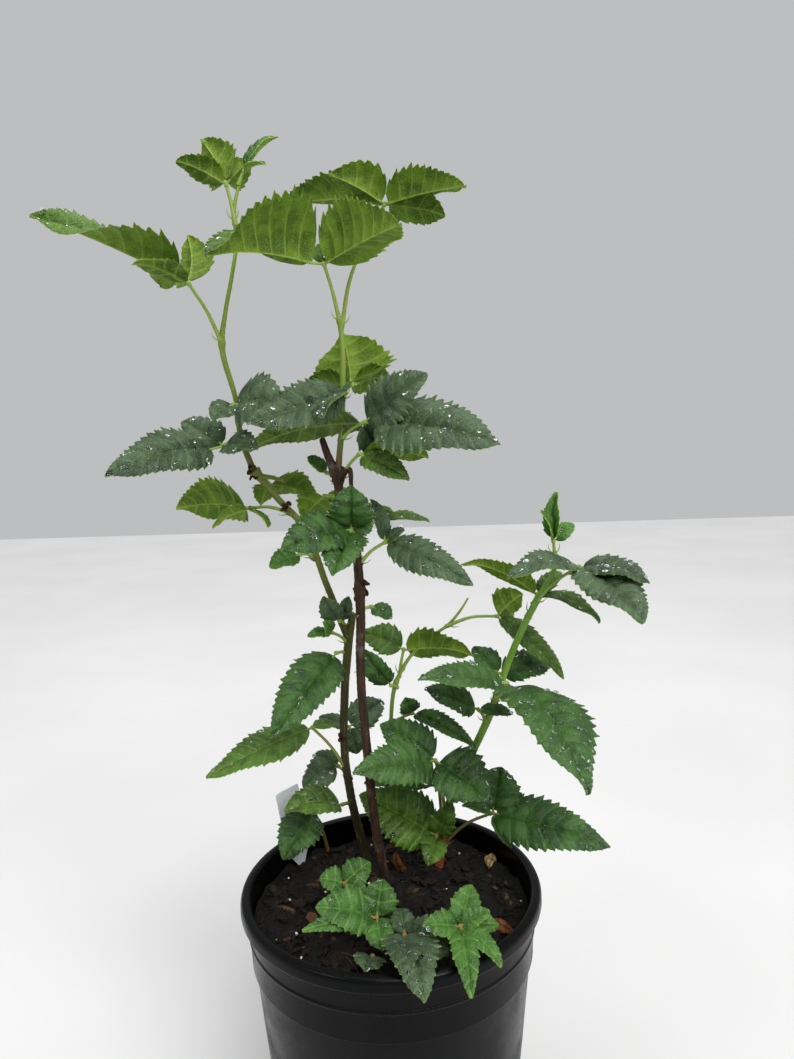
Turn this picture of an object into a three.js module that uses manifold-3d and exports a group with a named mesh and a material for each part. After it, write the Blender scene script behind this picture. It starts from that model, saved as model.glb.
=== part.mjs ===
// Potted bramble plant: a young trailing bramble in a round black nursery pot.
// Units are millimetres, +Z is up, and the origin is the centre of the pot's base.

import * as THREE from 'three';
import { mergeVertices } from 'three/addons/utils/BufferGeometryUtils.js';
import Module from 'manifold-3d';

const wasm = await Module();
wasm.setup();

// ---------- driving dimensions ----------

const POT_HEIGHT = 165;
const POT_LIP_RADIUS = 82.5;
const POT_LIP_HEIGHT = 7.7;
const POT_LIP_WIDTH = 6;
const POT_BASE_RADIUS = 63.5;
const POT_WALL = 1.5;
const POT_FLOOR = 2.2;
const POT_SIDES = 36;
const UPPER_RING_DROP = 19.7;
const LOWER_RING_DROP = 35.6;
const DRAIN_HOLES = 6;
const DRAIN_HOLE_RADIUS = 5.5;
const DRAIN_CIRCLE_RADIUS = 48;

const SOIL_LEVEL = POT_HEIGHT - 14;
const SOIL_SECTORS = 20;
const SOIL_RINGS = 4;
const SOIL_BUMP = 1.4;
const CLEARANCE = 0.4;

const LABEL_WIDTH = 16;
const LABEL_PANEL_HEIGHT = 40;
const LABEL_SPIKE_HEIGHT = 16;
const LABEL_THICKNESS = 0.9;

const LEAF_THICKNESS = 1.1;
const LEAF_FOLD = 16;
const LEAF_ARCH = 0.08;
const PETIOLE_RADIUS = 0.95;
const PETIOLE_SIDES = 4;
const HUB_RADIUS = 1.5;
const STALK_RADIUS = 0.7;
const KNOT_DETAIL = 1;
const CANE_SIDES = 6;
const SHOOT_SIDES = 6;
const UP = new THREE.Vector3(0, 0, 1);

// Half-width of a leaflet along its midrib, as a share of the widest half-width.
const LEAFLET_OUTLINE = [
  [0.1, 0.66],
  [0.34, 1],
  [0.62, 0.82],
  [0.86, 0.38],
];

// ---------- looks ----------

const LOOKS = {
  pot: { color: '#131416', roughness: 0.42 },
  soil: { color: '#1b1714', roughness: 0.95 },
  label: { color: '#cdd0d2', roughness: 0.5 },
  bark: { color: '#3a2f1c', roughness: 0.75 },
  greenStem: { color: '#6d8a3c', roughness: 0.55 },
  darkLeaf: { color: '#33502c', roughness: 0.6 },
  freshLeaf: { color: '#5c7d23', roughness: 0.55 },
  youngLeaf: { color: '#7c9a3d', roughness: 0.6 },
  blueLeaf: { color: '#54705a', roughness: 0.62 },
  dryLeaf: { color: '#a98d5c', roughness: 0.85 },
  deadLeaf: { color: '#6a4326', roughness: 0.85 },
};

function material(look) {
  const { color, roughness } = LOOKS[look];
  return new THREE.MeshStandardMaterial({ color, roughness, metalness: 0 });
}

// ---------- solids ----------

const vector = (p) => new THREE.Vector3(p[0], p[1], p[2]);

/** Turns a closed three.js geometry into a solid that can be joined and cut. */
function solidOf(geometry) {
  const bare = new THREE.BufferGeometry();
  bare.setAttribute('position', geometry.getAttribute('position').clone());
  if (geometry.index) {
    bare.setIndex(geometry.index.clone());
  }
  const merged = mergeVertices(bare, 1e-4);
  const triangles = [];
  const index = merged.index.array;
  for (let i = 0; i < index.length; i += 3) {
    const [a, b, c] = [index[i], index[i + 1], index[i + 2]];
    if (a !== b && b !== c && c !== a) {
      triangles.push(a, b, c);
    }
  }
  return new wasm.Manifold(new wasm.Mesh({
    numProp: 3,
    vertProperties: new Float32Array(merged.getAttribute('position').array),
    triVerts: new Uint32Array(triangles),
  }));
}

/** Turns a solid back into a three.js geometry. */
function geometryOf(solid) {
  const mesh = solid.getMesh();
  const geometry = new THREE.BufferGeometry();
  const positions = new Float32Array(mesh.vertProperties);
  geometry.setAttribute('position', new THREE.BufferAttribute(positions, 3));
  geometry.setIndex(new THREE.BufferAttribute(new Uint32Array(mesh.triVerts), 1));
  geometry.computeVertexNormals();
  return geometry;
}

function geometryFrom(positions, triangles) {
  const geometry = new THREE.BufferGeometry();
  const numbers = positions.flatMap((p) => p.toArray());
  geometry.setAttribute('position', new THREE.Float32BufferAttribute(numbers, 3));
  geometry.setIndex(triangles);
  return geometry;
}

function union(solids) {
  return solids.reduce((whole, solid) => whole.add(solid));
}

/** The largest separate piece of a solid, without the crumbs that a cut leaves. */
function mainPiece(solid) {
  return solid.decompose().reduce((best, piece) => (piece.volume() > best.volume() ? piece : best));
}

/** Reads a list of values at a position from 0 to 1. */
function valueAlong(values, t) {
  const place = t * (values.length - 1);
  const i = Math.min(Math.floor(place), values.length - 2);
  return THREE.MathUtils.lerp(values[i], values[i + 1], place - i);
}

/** A closed, tapering round tube along a smooth curve through the points. */
function taperedTube(points, radii, sides, steps, grow = 0) {
  const curve = new THREE.CatmullRomCurve3(points.map(vector));
  const positions = [];
  const triangles = [];
  const across = new THREE.Vector3(1, 0, 0);
  for (let i = 0; i <= steps; i += 1) {
    const t = i / steps;
    const centre = curve.getPoint(t);
    const along = curve.getTangent(t);
    across.addScaledVector(along, -across.dot(along)).normalize();
    const other = new THREE.Vector3().crossVectors(along, across);
    const radius = valueAlong(radii, t) + grow;
    for (let j = 0; j < sides; j += 1) {
      const angle = (2 * Math.PI * j) / sides;
      positions.push(centre.clone()
        .addScaledVector(across, radius * Math.cos(angle))
        .addScaledVector(other, radius * Math.sin(angle)));
    }
  }
  for (let i = 0; i < steps; i += 1) {
    for (let j = 0; j < sides; j += 1) {
      const [a, b] = [i * sides + j, i * sides + ((j + 1) % sides)];
      triangles.push(a, b, b + sides, a, b + sides, a + sides);
    }
  }
  const last = steps * sides;
  for (let j = 1; j < sides - 1; j += 1) {
    triangles.push(0, j + 1, j, last, last + j, last + j + 1);
  }
  return solidOf(geometryFrom(positions, triangles));
}

/** A knot or a leaf's hub: a coarse ball, with eight faces when its detail is 0. */
function ball(centre, radius, detail) {
  const shape = new THREE.OctahedronGeometry(radius, detail);
  shape.translate(centre[0], centre[1], centre[2]);
  return solidOf(shape);
}

// ---------- scene graph ----------

/** A named mesh of a solid, placed at its own root point. */
function piece(name, look, solid, at = [0, 0, 0]) {
  const local = solid.translate([-at[0], -at[1], -at[2]]);
  const mesh = new THREE.Mesh(geometryOf(local), material(look));
  mesh.name = name;
  mesh.position.set(at[0], at[1], at[2]);
  return mesh;
}

// ---------- pot ----------

const lipBottom = POT_HEIGHT - POT_LIP_HEIGHT;
const lipInner = POT_LIP_RADIUS - POT_LIP_WIDTH;
const upperRing = POT_HEIGHT - UPPER_RING_DROP;
const lowerRing = POT_HEIGHT - LOWER_RING_DROP;

/** Outside of the pot from the centre of its base up to the top of its rolled lip. */
const potOutside = [
  [0, 0],
  [POT_BASE_RADIUS - 1.5, 0],
  [POT_BASE_RADIUS, 1.5],
  [76, lowerRing - 1],
  [77.5, lowerRing],
  [78.1, upperRing - 0.8],
  [78.7, upperRing],
  [78.3, upperRing + 0.8],
  [79.2, lipBottom],
  [POT_LIP_RADIUS, lipBottom + 0.4],
  [POT_LIP_RADIUS, POT_HEIGHT - 1.4],
  [POT_LIP_RADIUS - 1.2, POT_HEIGHT],
];

/** Inside of the pot from its lip down to its floor. */
const potInside = [
  [lipInner + 0.8, POT_HEIGHT],
  [lipInner, POT_HEIGHT - 1.2],
  [lipInner - 0.4, lowerRing + 6],
  [76 - POT_WALL, lowerRing - 4],
  [POT_BASE_RADIUS - POT_WALL, POT_FLOOR],
  [0, POT_FLOOR],
];

function potSolid() {
  const profile = [...potOutside, ...potInside].map(([r, z]) => new THREE.Vector2(r, z));
  const body = solidOf(new THREE.LatheGeometry(profile, POT_SIDES).rotateX(Math.PI / 2));
  const holes = [];
  for (let i = 0; i < DRAIN_HOLES; i += 1) {
    const angle = (2 * Math.PI * (i + 0.5)) / DRAIN_HOLES;
    const hole = new THREE.CylinderGeometry(DRAIN_HOLE_RADIUS, DRAIN_HOLE_RADIUS, 3 * POT_FLOOR, 12);
    const [x, y] = [DRAIN_CIRCLE_RADIUS * Math.cos(angle), DRAIN_CIRCLE_RADIUS * Math.sin(angle)];
    hole.rotateX(Math.PI / 2);
    hole.translate(x, y, POT_FLOOR / 2);
    holes.push(solidOf(hole));
  }
  return body.subtract(union(holes));
}

// ---------- soil ----------

/** Height of the uneven soil surface at a point. */
function soilHeight(x, y) {
  const ripple = Math.sin(x / 11 + 1) * Math.cos(y / 13) + 0.6 * Math.sin((x + y) / 7);
  return SOIL_LEVEL + SOIL_BUMP * ripple;
}

/** Root ball that fills the pot, with an uneven top, before the sockets are cut. */
function rootBall() {
  const wall = [
    [POT_BASE_RADIUS - POT_WALL - CLEARANCE, POT_FLOOR + CLEARANCE],
    [76 - POT_WALL - CLEARANCE, lowerRing - 4],
  ];
  const positions = [new THREE.Vector3(0, 0, POT_FLOOR + CLEARANCE)];
  const triangles = [];
  const rimRadius = lipInner - 0.4 - 2 * CLEARANCE;
  const pushRing = (radius, height) => {
    for (let j = 0; j < SOIL_SECTORS; j += 1) {
      const angle = (2 * Math.PI * j) / SOIL_SECTORS;
      const [x, y] = [radius * Math.cos(angle), radius * Math.sin(angle)];
      positions.push(new THREE.Vector3(x, y, height ?? soilHeight(x, y)));
    }
  };
  wall.forEach(([radius, height]) => pushRing(radius, height));
  for (let i = SOIL_RINGS; i >= 1; i -= 1) {
    pushRing((rimRadius * i) / SOIL_RINGS);
  }
  const top = positions.push(new THREE.Vector3(0, 0, soilHeight(0, 0))) - 1;
  const rings = wall.length + SOIL_RINGS;
  for (let j = 0; j < SOIL_SECTORS; j += 1) {
    const next = (j + 1) % SOIL_SECTORS;
    triangles.push(0, 1 + next, 1 + j);
    for (let i = 0; i < rings - 1; i += 1) {
      const [a, b] = [1 + i * SOIL_SECTORS + j, 1 + i * SOIL_SECTORS + next];
      triangles.push(a, b, b + SOIL_SECTORS, a, b + SOIL_SECTORS, a + SOIL_SECTORS);
    }
    const ring = 1 + (rings - 1) * SOIL_SECTORS;
    triangles.push(ring + j, ring + next, top);
  }
  return solidOf(geometryFrom(positions, triangles));
}

// ---------- stems ----------

// Each run is a list of points along the stem, with the stem's radius at each point.
const stemRuns = {
  left_cane: {
    sides: CANE_SIDES,
    runs: [
      {
        points: [[-13, 43, 127], [-15, 43, 151], [-21, 41, 181], [-26, 40, 224],
          [-25, 39, 252], [-21, 37, 290], [-18, 36, 308]],
        radii: [2.4, 2.8, 2.5, 2.4, 2.4, 2.5, 2.1],
        steps: 12,
      },
      {
        points: [[-21, 37, 292], [-27, 32, 312], [-32, 29, 328], [-44, 23, 363],
          [-57, 20, 379], [-67, 17, 393]],
        radii: [2, 1.9, 1.8, 1.8, 1.7, 2],
        steps: 10,
      },
      {
        points: [[-65, 17, 390], [-57, 16, 389], [-51, 15, 387]],
        radii: [1.5, 1.1, 0.9],
        steps: 2,
      },
    ],
    knots: [[-67, 17, 393, 3.4]],
  },
  left_shoot: {
    sides: SHOOT_SIDES,
    runs: [
      {
        points: [[-68, 17, 394], [-73, 15, 411], [-74, 12, 430], [-79, 8, 461], [-76, 6, 475],
          [-71, 5, 495], [-68, 4, 509], [-68, 3, 525], [-64, 3, 541]],
        radii: [1.7, 1.5, 1.3, 1.5, 1.1, 1, 1, 0.9, 0.7],
        steps: 16,
      },
    ],
    knots: [[-79, 8, 460, 2], [-68, 3, 519, 1.5]],
  },
  right_cane: {
    sides: CANE_SIDES,
    runs: [
      {
        points: [[-1, 13, 127], [-3, 13, 151], [-8, 12, 190], [-11, 10, 235], [-13, 9, 275],
          [-12, 8, 328], [-14, 7, 356], [-21, 6, 378], [-21, 5, 391]],
        radii: [2.6, 2.9, 2.6, 2.5, 2.4, 2.6, 2.3, 2.2, 2.4],
        steps: 16,
      },
      {
        points: [[-22, 5, 390], [-26, 6, 400], [-29, 8, 409]],
        radii: [2.6, 2, 1.6],
        steps: 3,
      },
      {
        points: [[-19, 4, 391], [-15, 1, 393], [-14, 0, 384]],
        radii: [1.6, 1.4, 1],
        steps: 4,
      },
    ],
    knots: [[-21, 5, 390, 3.7], [-12, 8, 327, 3.3]],
  },
  right_shoot: {
    sides: SHOOT_SIDES,
    runs: [
      {
        points: [[-21, 5, 391], [-20, 5, 400], [-18, 4, 415], [-17, 4, 432], [-16, 3, 456],
          [-17, 3, 471]],
        radii: [1.8, 1.6, 1.5, 1.4, 1.3, 1.4],
        steps: 9,
      },
    ],
    knots: [[-17, 4, 431, 2], [-17, 3, 469, 1.9]],
  },
  young_cane: {
    sides: CANE_SIDES,
    runs: [
      {
        points: [[27, 34, 127], [28, 34, 151], [31, 34, 169], [36, 32, 195], [48, 28, 223],
          [60, 23, 252], [69, 19, 280], [78, 14, 304], [86, 10, 321], [93, 6, 336], [93, 4, 346]],
        radii: [2.6, 3, 2.7, 2.3, 2.1, 2.2, 1.9, 1.9, 1.7, 1.3, 1],
        steps: 20,
      },
    ],
    knots: [],
  },
  back_shoot: {
    sides: SHOOT_SIDES,
    runs: [
      {
        points: [[1, 60, 130], [1, 60, 151], [0, 52, 195], [2, 48, 238], [6, 46, 263],
          [15, 45, 279], [26, 44, 290], [38, 44, 298], [46, 45, 307], [50, 46, 313]],
        radii: [1.3, 1.3, 1.2, 1.1, 1.3, 1, 0.9, 0.9, 0.7, 0.5],
        steps: 16,
      },
    ],
    knots: [[6, 46, 263, 1.8]],
  },
};

/** One stem, grown outwards by a clearance when it is used to cut its neighbours. */
function stemSolid(name, grow = 0) {
  const { sides, runs, knots } = stemRuns[name];
  const tubes = runs.map((run) => taperedTube(run.points, run.radii, sides, run.steps, grow));
  const swellings = knots.map(([x, y, z, radius]) => ball([x, y, z], radius + grow, KNOT_DETAIL));
  return union([...tubes, ...swellings]);
}

// ---------- leaves ----------

/**
 * One leaflet as a thin lens with a V-fold along its midrib.
 * face is the way its upper side looks, arch lifts the middle of the midrib
 * as a share of its length, and twist turns the blade from its base to its tip.
 */
function leafletSolid(base, spec) {
  const start = vector(base);
  const span = vector(spec.tip).sub(start);
  const length = span.length();
  const axis = span.clone().normalize();
  const face = vector(spec.face ?? [0, 0, 1]);
  face.addScaledVector(axis, -face.dot(axis)).normalize();
  const arch = (spec.arch ?? LEAF_ARCH) * length;
  const fold = THREE.MathUtils.degToRad(spec.fold ?? LEAF_FOLD);
  const twist = THREE.MathUtils.degToRad(spec.twist ?? 0);
  const lift = (t) => 4 * arch * t * (1 - t);
  const midrib = (t) => start.clone().addScaledVector(span, t).addScaledVector(face, lift(t));
  const positions = [start];
  for (const [t, share] of LEAFLET_OUTLINE) {
    const along = span.clone().addScaledVector(face, 4 * arch * (1 - 2 * t)).normalize();
    const normal = face.clone().addScaledVector(along, -face.dot(along)).normalize();
    normal.applyAxisAngle(along, twist * t);
    const side = new THREE.Vector3().crossVectors(along, normal);
    const half = (spec.width / 2) * share;
    const rise = normal.clone().multiplyScalar(half * Math.sin(fold));
    const reach = half * Math.cos(fold);
    const centre = midrib(t);
    positions.push(
      centre.clone().add(rise).addScaledVector(side, -reach),
      centre.clone().addScaledVector(normal, LEAF_THICKNESS / 2),
      centre.clone().add(rise).addScaledVector(side, reach),
      centre.clone().addScaledVector(normal, -LEAF_THICKNESS / 2),
    );
  }
  const tip = positions.push(vector(spec.tip)) - 1;
  const [left, top, right, under] = [0, 1, 2, 3];
  const at = (station, corner) => 1 + 4 * station + corner;
  const triangles = [];
  const last = LEAFLET_OUTLINE.length - 1;
  for (const [from, to] of [[left, top], [top, right], [right, under], [under, left]]) {
    triangles.push(0, at(0, to), at(0, from));
    for (let i = 0; i < last; i += 1) {
      triangles.push(at(i, from), at(i, to), at(i + 1, to), at(i, from), at(i + 1, to), at(i + 1, from));
    }
    triangles.push(at(last, from), at(last, to), tip);
  }
  return solidOf(geometryFrom(positions, triangles));
}

/** A compound leaf: its petiole from the node to the hub, and its leaflets. */
function leafSolid(spec) {
  const [node, hub] = [vector(spec.node), vector(spec.hub)];
  const bend = node.clone().lerp(hub, 0.5);
  bend.addScaledVector(UP, (spec.bow ?? 0.08) * node.distanceTo(hub));
  const petiolePoints = [spec.node, ...(spec.via ?? [bend.toArray()]), spec.hub];
  const radii = [PETIOLE_RADIUS * 1.25, PETIOLE_RADIUS, PETIOLE_RADIUS * 0.9];
  const petiole = taperedTube(petiolePoints, radii, PETIOLE_SIDES, spec.steps ?? 3);
  const parts = [petiole, ball(spec.hub, HUB_RADIUS, 0)];
  for (const leaflet of spec.leaflets) {
    const towards = vector(leaflet.tip).sub(hub).normalize();
    const base = hub.clone().addScaledVector(towards, leaflet.stalk ?? 0);
    parts.push(leafletSolid(base.toArray(), leaflet));
    if (leaflet.stalk) {
      const end = base.clone().addScaledVector(towards, 2.5);
      parts.push(taperedTube([spec.hub, end.toArray()], [STALK_RADIUS, STALK_RADIUS], 3, 1));
    }
  }
  return union(parts);
}

// Leaves by the stem that carries them; those under soil rise from the roots.
// node is the point on the stem's axis, hub is where the leaflets meet.
const leaves = {
  left_shoot: [
    { name: 'left_leaf_1', look: 'freshLeaf', node: [-68, 3, 519], hub: [-71, 0, 537], leaflets: [
      { tip: [-93, -9, 546], width: 15, face: [-0.2, 0.6, 1] },
      { tip: [-84, 10, 562], width: 23, face: [0.3, 0.9, 0.4] },
      { tip: [-60, 12, 552], width: 14, face: [0.2, 0.8, 0.6] },
    ] },
    { name: 'left_leaf_2', look: 'freshLeaf', node: [-79, 8, 460], hub: [-91, -6, 488], leaflets: [
      {
        tip: [-157, -30, 517], width: 40, face: [0, 0.75, 0.65], stalk: 6, twist: -112, arch: 0.05,
        fold: 26,
      },
      { tip: [-110, -34, 493], width: 15, face: [0, 0.4, 0.9] },
      { tip: [-95, 16, 516], width: 24, face: [0.2, 0.9, 0.3] },
    ] },
    { name: 'left_leaf_3', look: 'blueLeaf', node: [-72, 15, 412], hub: [-80, 4, 407], leaflets: [
      { tip: [-130, -34, 395], width: 28, face: [0, -0.8, 0.6], stalk: 8, arch: 0.1, fold: 10 },
      { tip: [-103, 10, 421], width: 20, face: [0, -0.6, 0.8], arch: 0.04 },
      { tip: [-59, -16, 406], width: 16, face: [0, -0.8, 0.6] },
    ] },
    { name: 'left_leaf_4', look: 'blueLeaf', node: [-75, 12, 428], hub: [-74, 2, 428], leaflets: [
      { tip: [-46, -8, 430], width: 32, face: [0, -0.8, 0.6], arch: 0.06, fold: 10 },
      { tip: [-83, -8, 421], width: 14, face: [0, -0.8, 0.6] },
    ] },
    { name: 'left_leaf_young', look: 'youngLeaf', node: [-65, 3, 538], hub: [-62, 3, 544], leaflets: [
      { tip: [-45, 6, 561], width: 10, face: [-0.4, -0.5, 0.6], fold: 40 },
      { tip: [-50, -6, 544], width: 6, face: [0, -0.3, 1], fold: 35 },
    ] },
  ],
  left_cane: [
    { name: 'left_leaf_5', look: 'freshLeaf', node: [-49, 21, 369], hub: [-73, 26, 372], leaflets: [
      { tip: [-117, 40, 372], width: 34, face: [0, 0.75, 0.6] },
      { tip: [-91, 14, 363], width: 16, face: [0, 0.5, 0.8] },
      { tip: [-60, 12, 363], width: 11, face: [0, 0.5, 0.8] },
    ] },
    { name: 'left_leaf_6', look: 'freshLeaf', node: [-63, 18, 388], hub: [-62, 32, 385], leaflets: [
      { tip: [-37, 42, 376], width: 26, face: [0, 0.55, 0.85] },
      { tip: [-70, 48, 372], width: 13, face: [0, 0.5, 0.85] },
    ] },
    { name: 'mid_leaf_5', look: 'youngLeaf', node: [-38, 26, 343], hub: [-44, 12, 347], leaflets: [
      { tip: [-59, 2, 342], width: 14, face: [0, -0.6, 0.8] },
    ] },
    { name: 'mid_leaf_6', look: 'blueLeaf', node: [-22, 37, 300], hub: [-25, 27, 306], leaflets: [
      { tip: [-33, 19, 322], width: 13, face: [-0.3, -0.8, 0.4] },
      { tip: [-19, 22, 321], width: 9, face: [0.3, -0.9, 0.3] },
    ] },
    { name: 'mid_leaf_7', look: 'youngLeaf', node: [-21, 37, 290], hub: [-30, 29, 299], leaflets: [
      { tip: [-43, 22, 299], width: 8, face: [0, -0.5, 0.8] },
      { tip: [-33, 18, 308], width: 8, face: [0, -0.8, 0.5] },
    ] },
    { name: 'back_leaf_5', look: 'blueLeaf', node: [-26, 40, 236], hub: [-24, 57, 232], leaflets: [
      { tip: [-43, 62, 237], width: 9, face: [0, -0.6, 0.8] },
      { tip: [-3, 72, 243], width: 20, face: [0, -0.7, 0.7] },
      { tip: [-19, 56, 215], width: 14, face: [0, -0.8, 0.5] },
    ] },
    { name: 'low_leaf_1', look: 'darkLeaf', node: [-22, 38, 284], hub: [-28, 32, 286], leaflets: [
      { tip: [-62, -6, 251], width: 29, face: [-0.1, -0.8, 0.55], arch: 0.04 },
    ] },
    { name: 'low_leaf_2', look: 'freshLeaf', node: [-25, 40, 211], hub: [-44, 34, 241], leaflets: [
      { tip: [-102, 10, 223], width: 25, face: [0, -0.45, 0.9], arch: 0.03, fold: 10 },
      { tip: [-31, 47, 237], width: 9, face: [0, -0.4, 0.9] },
    ] },
    { name: 'low_leaf_3', look: 'blueLeaf', node: [-24, 40, 206], hub: [-31, 50, 210], leaflets: [
      { tip: [-47, 62, 213], width: 12, face: [0, -0.6, 0.8] },
      { tip: [-53, 48, 197], width: 22, face: [-0.1, -0.5, 0.85], arch: 0.12 },
    ] },
    { name: 'low_leaf_4', look: 'freshLeaf', node: [-23, 41, 190], hub: [-28, 34, 193], leaflets: [
      { tip: [-60, 16, 199], width: 24, face: [0, -0.35, 0.95], arch: 0.12 },
    ] },
  ],
  right_shoot: [
    { name: 'right_leaf_1', look: 'freshLeaf', node: [-17, 3, 468], hub: [-23, -9, 495], leaflets: [
      { tip: [-72, -50, 492], width: 58, face: [0, 0.55, 0.85], stalk: 7, fold: 44, arch: 0.07, twist: -30 },
      { tip: [15, -42, 505], width: 42, face: [0, 0.7, 0.7], fold: 44, arch: 0.03 },
      { tip: [-29, 12, 509], width: 9, face: [0, -0.8, 0.5] },
    ] },
    { name: 'right_leaf_2', look: 'freshLeaf', node: [-16, 3, 466], hub: [8, -4, 524],
      via: [[-11, 2, 489], [-5, 0, 503]], steps: 6, leaflets: [
        { tip: [-18, -16, 535], width: 25, face: [0, 0.45, 0.9], arch: 0.06, fold: 38 },
        { tip: [-51, 24, 530], width: 26, face: [0, 0.45, 0.9], arch: 0.08, fold: 38 },
        { tip: [46, -30, 524], width: 25, face: [0, 0.5, 0.85], arch: 0.03, fold: 40 },
        { tip: [38, -6, 517], width: 20, face: [0, 0.7, 0.7] },
      ] },
    { name: 'right_leaf_3', look: 'freshLeaf', node: [-17, 4, 434], hub: [-13, 17, 437], leaflets: [
      { tip: [-18, 40, 467], width: 46, face: [0, 0.85, 0.5] },
      { tip: [-41, 28, 436], width: 18, face: [0, 0.8, 0.6] },
      { tip: [8, 32, 442], width: 18, face: [0, 0.8, 0.6] },
    ] },
    { name: 'right_leaf_4', look: 'blueLeaf', node: [-17, 4, 429], hub: [-14, -7, 433], leaflets: [
      { tip: [-62, -26, 418], width: 26, face: [0, -0.85, 0.5], arch: -0.02, fold: 10 },
      { tip: [-26, -30, 420], width: 24, face: [0, 0.5, 0.85], arch: 0.05 },
    ] },
    { name: 'right_leaf_5', look: 'blueLeaf', node: [-19, 4, 408], hub: [-6, -3, 417], leaflets: [
      { tip: [59, -40, 405], width: 37, face: [0, -0.75, 0.65], stalk: 9, arch: 0.06, fold: 10 },
      { tip: [26, -18, 440], width: 26, face: [0, -0.85, 0.5], arch: 0.04, fold: 10 },
      { tip: [-70, 18, 405], width: 28, face: [0, 0.6, 0.8] },
      { tip: [-1, 14, 401], width: 16, face: [0, -0.9, 0.4] },
    ] },
  ],
  right_cane: [
    { name: 'right_leaf_6', look: 'freshLeaf', node: [-20, 5, 387], hub: [-9, -6, 401], leaflets: [
      { tip: [16, -22, 388], width: 14, face: [0.2, -0.9, 0.4] },
      { tip: [27, 8, 398], width: 26, face: [0, 0.6, 0.8] },
    ] },
    { name: 'right_leaf_7', look: 'youngLeaf', node: [-21, 5, 386], hub: [-28, 14, 391], leaflets: [
      { tip: [-38, 17, 400], width: 8, face: [0, -0.6, 0.8] },
    ] },
    { name: 'mid_leaf_1', look: 'darkLeaf', node: [-13, 7, 352], hub: [-14, -12, 363], leaflets: [
      { tip: [-13, -22, 386], width: 22, face: [0, -0.9, 0.35] },
      { tip: [-47, -36, 357], width: 27, face: [-0.1, -0.75, 0.6], stalk: 2 },
      { tip: [-22, -42, 345], width: 22, face: [0, -0.8, 0.6], stalk: 3 },
      { tip: [-3, -10, 366], width: 14, face: [0, -0.8, 0.6] },
    ] },
    { name: 'mid_leaf_2', look: 'blueLeaf', node: [-12, 8, 341], hub: [3, 2, 354], leaflets: [
      { tip: [47, -20, 334], width: 20, face: [0, -0.75, 0.65], arch: 0.05, fold: 10 },
      { tip: [-4, 3, 377], width: 10, face: [0.6, -0.7, 0.3] },
      { tip: [13, 0, 361], width: 7, face: [0, -0.7, 0.7] },
    ] },
    { name: 'mid_leaf_3', look: 'freshLeaf', node: [-14, 7, 358], hub: [1, 26, 364], leaflets: [
      { tip: [28, 32, 361], width: 10, face: [0, -0.4, 0.9] },
      { tip: [5, 30, 370], width: 9, face: [0, -0.8, 0.5] },
    ] },
    { name: 'mid_leaf_4', look: 'freshLeaf', node: [-20, 6, 376], hub: [-30, 20, 378], leaflets: [
      { tip: [-43, 28, 365], width: 20, face: [0, 0.7, 0.7] },
      { tip: [-17, 30, 369], width: 20, face: [0, 0.7, 0.7] },
    ] },
    { name: 'mid_leaf_8', look: 'darkLeaf', node: [-12, 8, 316], hub: [-6, 12, 317], leaflets: [
      { tip: [5, 8, 311], width: 12, face: [0, -0.4, 0.9] },
    ] },
  ],
  back_shoot: [
    { name: 'back_leaf_1', look: 'freshLeaf', node: [8, 46, 267], hub: [11, 46, 283], leaflets: [
      { tip: [51, 30, 283], width: 30, face: [0, 0.75, 0.65] },
      { tip: [-14, 54, 292], width: 20, face: [0, -0.65, 0.75], arch: 0.1 },
    ] },
    { name: 'back_leaf_2', look: 'darkLeaf', node: [6, 46, 260], hub: [3, 40, 263], leaflets: [
      { tip: [-13, 36, 287], width: 15, face: [-0.4, -0.9, 0.3] },
    ] },
    { name: 'back_leaf_3', look: 'darkLeaf', node: [1, 48, 234], hub: [15, 42, 245], leaflets: [
      { tip: [11, 38, 256], width: 12, face: [0, -0.9, 0.3] },
      { tip: [50, 14, 234], width: 13, face: [0.1, -0.6, 0.8], fold: 30 },
    ] },
    { name: 'back_leaf_4', look: 'freshLeaf', node: [37, 44, 297], hub: [66, 40, 303], leaflets: [
      { tip: [82, 44, 315], width: 24, face: [0, 0.8, 0.5] },
      { tip: [102, 22, 270], width: 15, face: [0.3, -0.6, 0.6] },
    ] },
  ],
  young_cane: [
    { name: 'young_leaf_1', look: 'youngLeaf', node: [93, 4.5, 343], hub: [92, 3, 352], leaflets: [
      { tip: [93, 0, 378], width: 10, face: [-0.6, -0.9, 0.2], fold: 38 },
      { tip: [84, -6, 369], width: 7, face: [0.5, -0.6, 0.4], fold: 30 },
      { tip: [104, 8, 360], width: 9, face: [-0.2, -0.8, 0.5] },
    ] },
    { name: 'young_leaf_2', look: 'blueLeaf', node: [83, 11, 316], hub: [105, 0, 338], leaflets: [
      { tip: [129, -36, 316], width: 36, face: [0.3, -0.6, 0.7], arch: 0.08, fold: 10 },
      { tip: [137, -18, 332], width: 22, face: [0, -0.3, 0.9], arch: 0.1 },
      { tip: [64, -20, 337], width: 20, face: [0, -0.35, 0.9], arch: 0.12 },
    ] },
    { name: 'young_leaf_3', look: 'freshLeaf', node: [80, 13, 309], hub: [86, 18, 320], leaflets: [
      { tip: [43, 6, 341], width: 18, face: [0, 0.5, 0.85], arch: 0.1 },
      { tip: [117, 2, 307], width: 18, face: [0.2, -0.2, 0.95], arch: 0.12 },
      { tip: [101, 26, 331], width: 10, face: [0, -0.5, 0.8] },
    ] },
    { name: 'young_leaf_4', look: 'darkLeaf', node: [61, 22, 256], hub: [67, 8, 273], leaflets: [
      { tip: [98, -50, 235], width: 50, face: [0.5, -0.5, 0.7], stalk: 4, arch: 0.13, fold: 12 },
      { tip: [18, -14, 284], width: 20, face: [0, -0.5, 0.85], arch: 0.06 },
    ] },
    { name: 'young_leaf_10', look: 'darkLeaf', node: [63, 22, 262], hub: [66, 34, 270], leaflets: [
      { tip: [98, 38, 274], width: 22, face: [0, -0.5, 0.85] },
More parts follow.
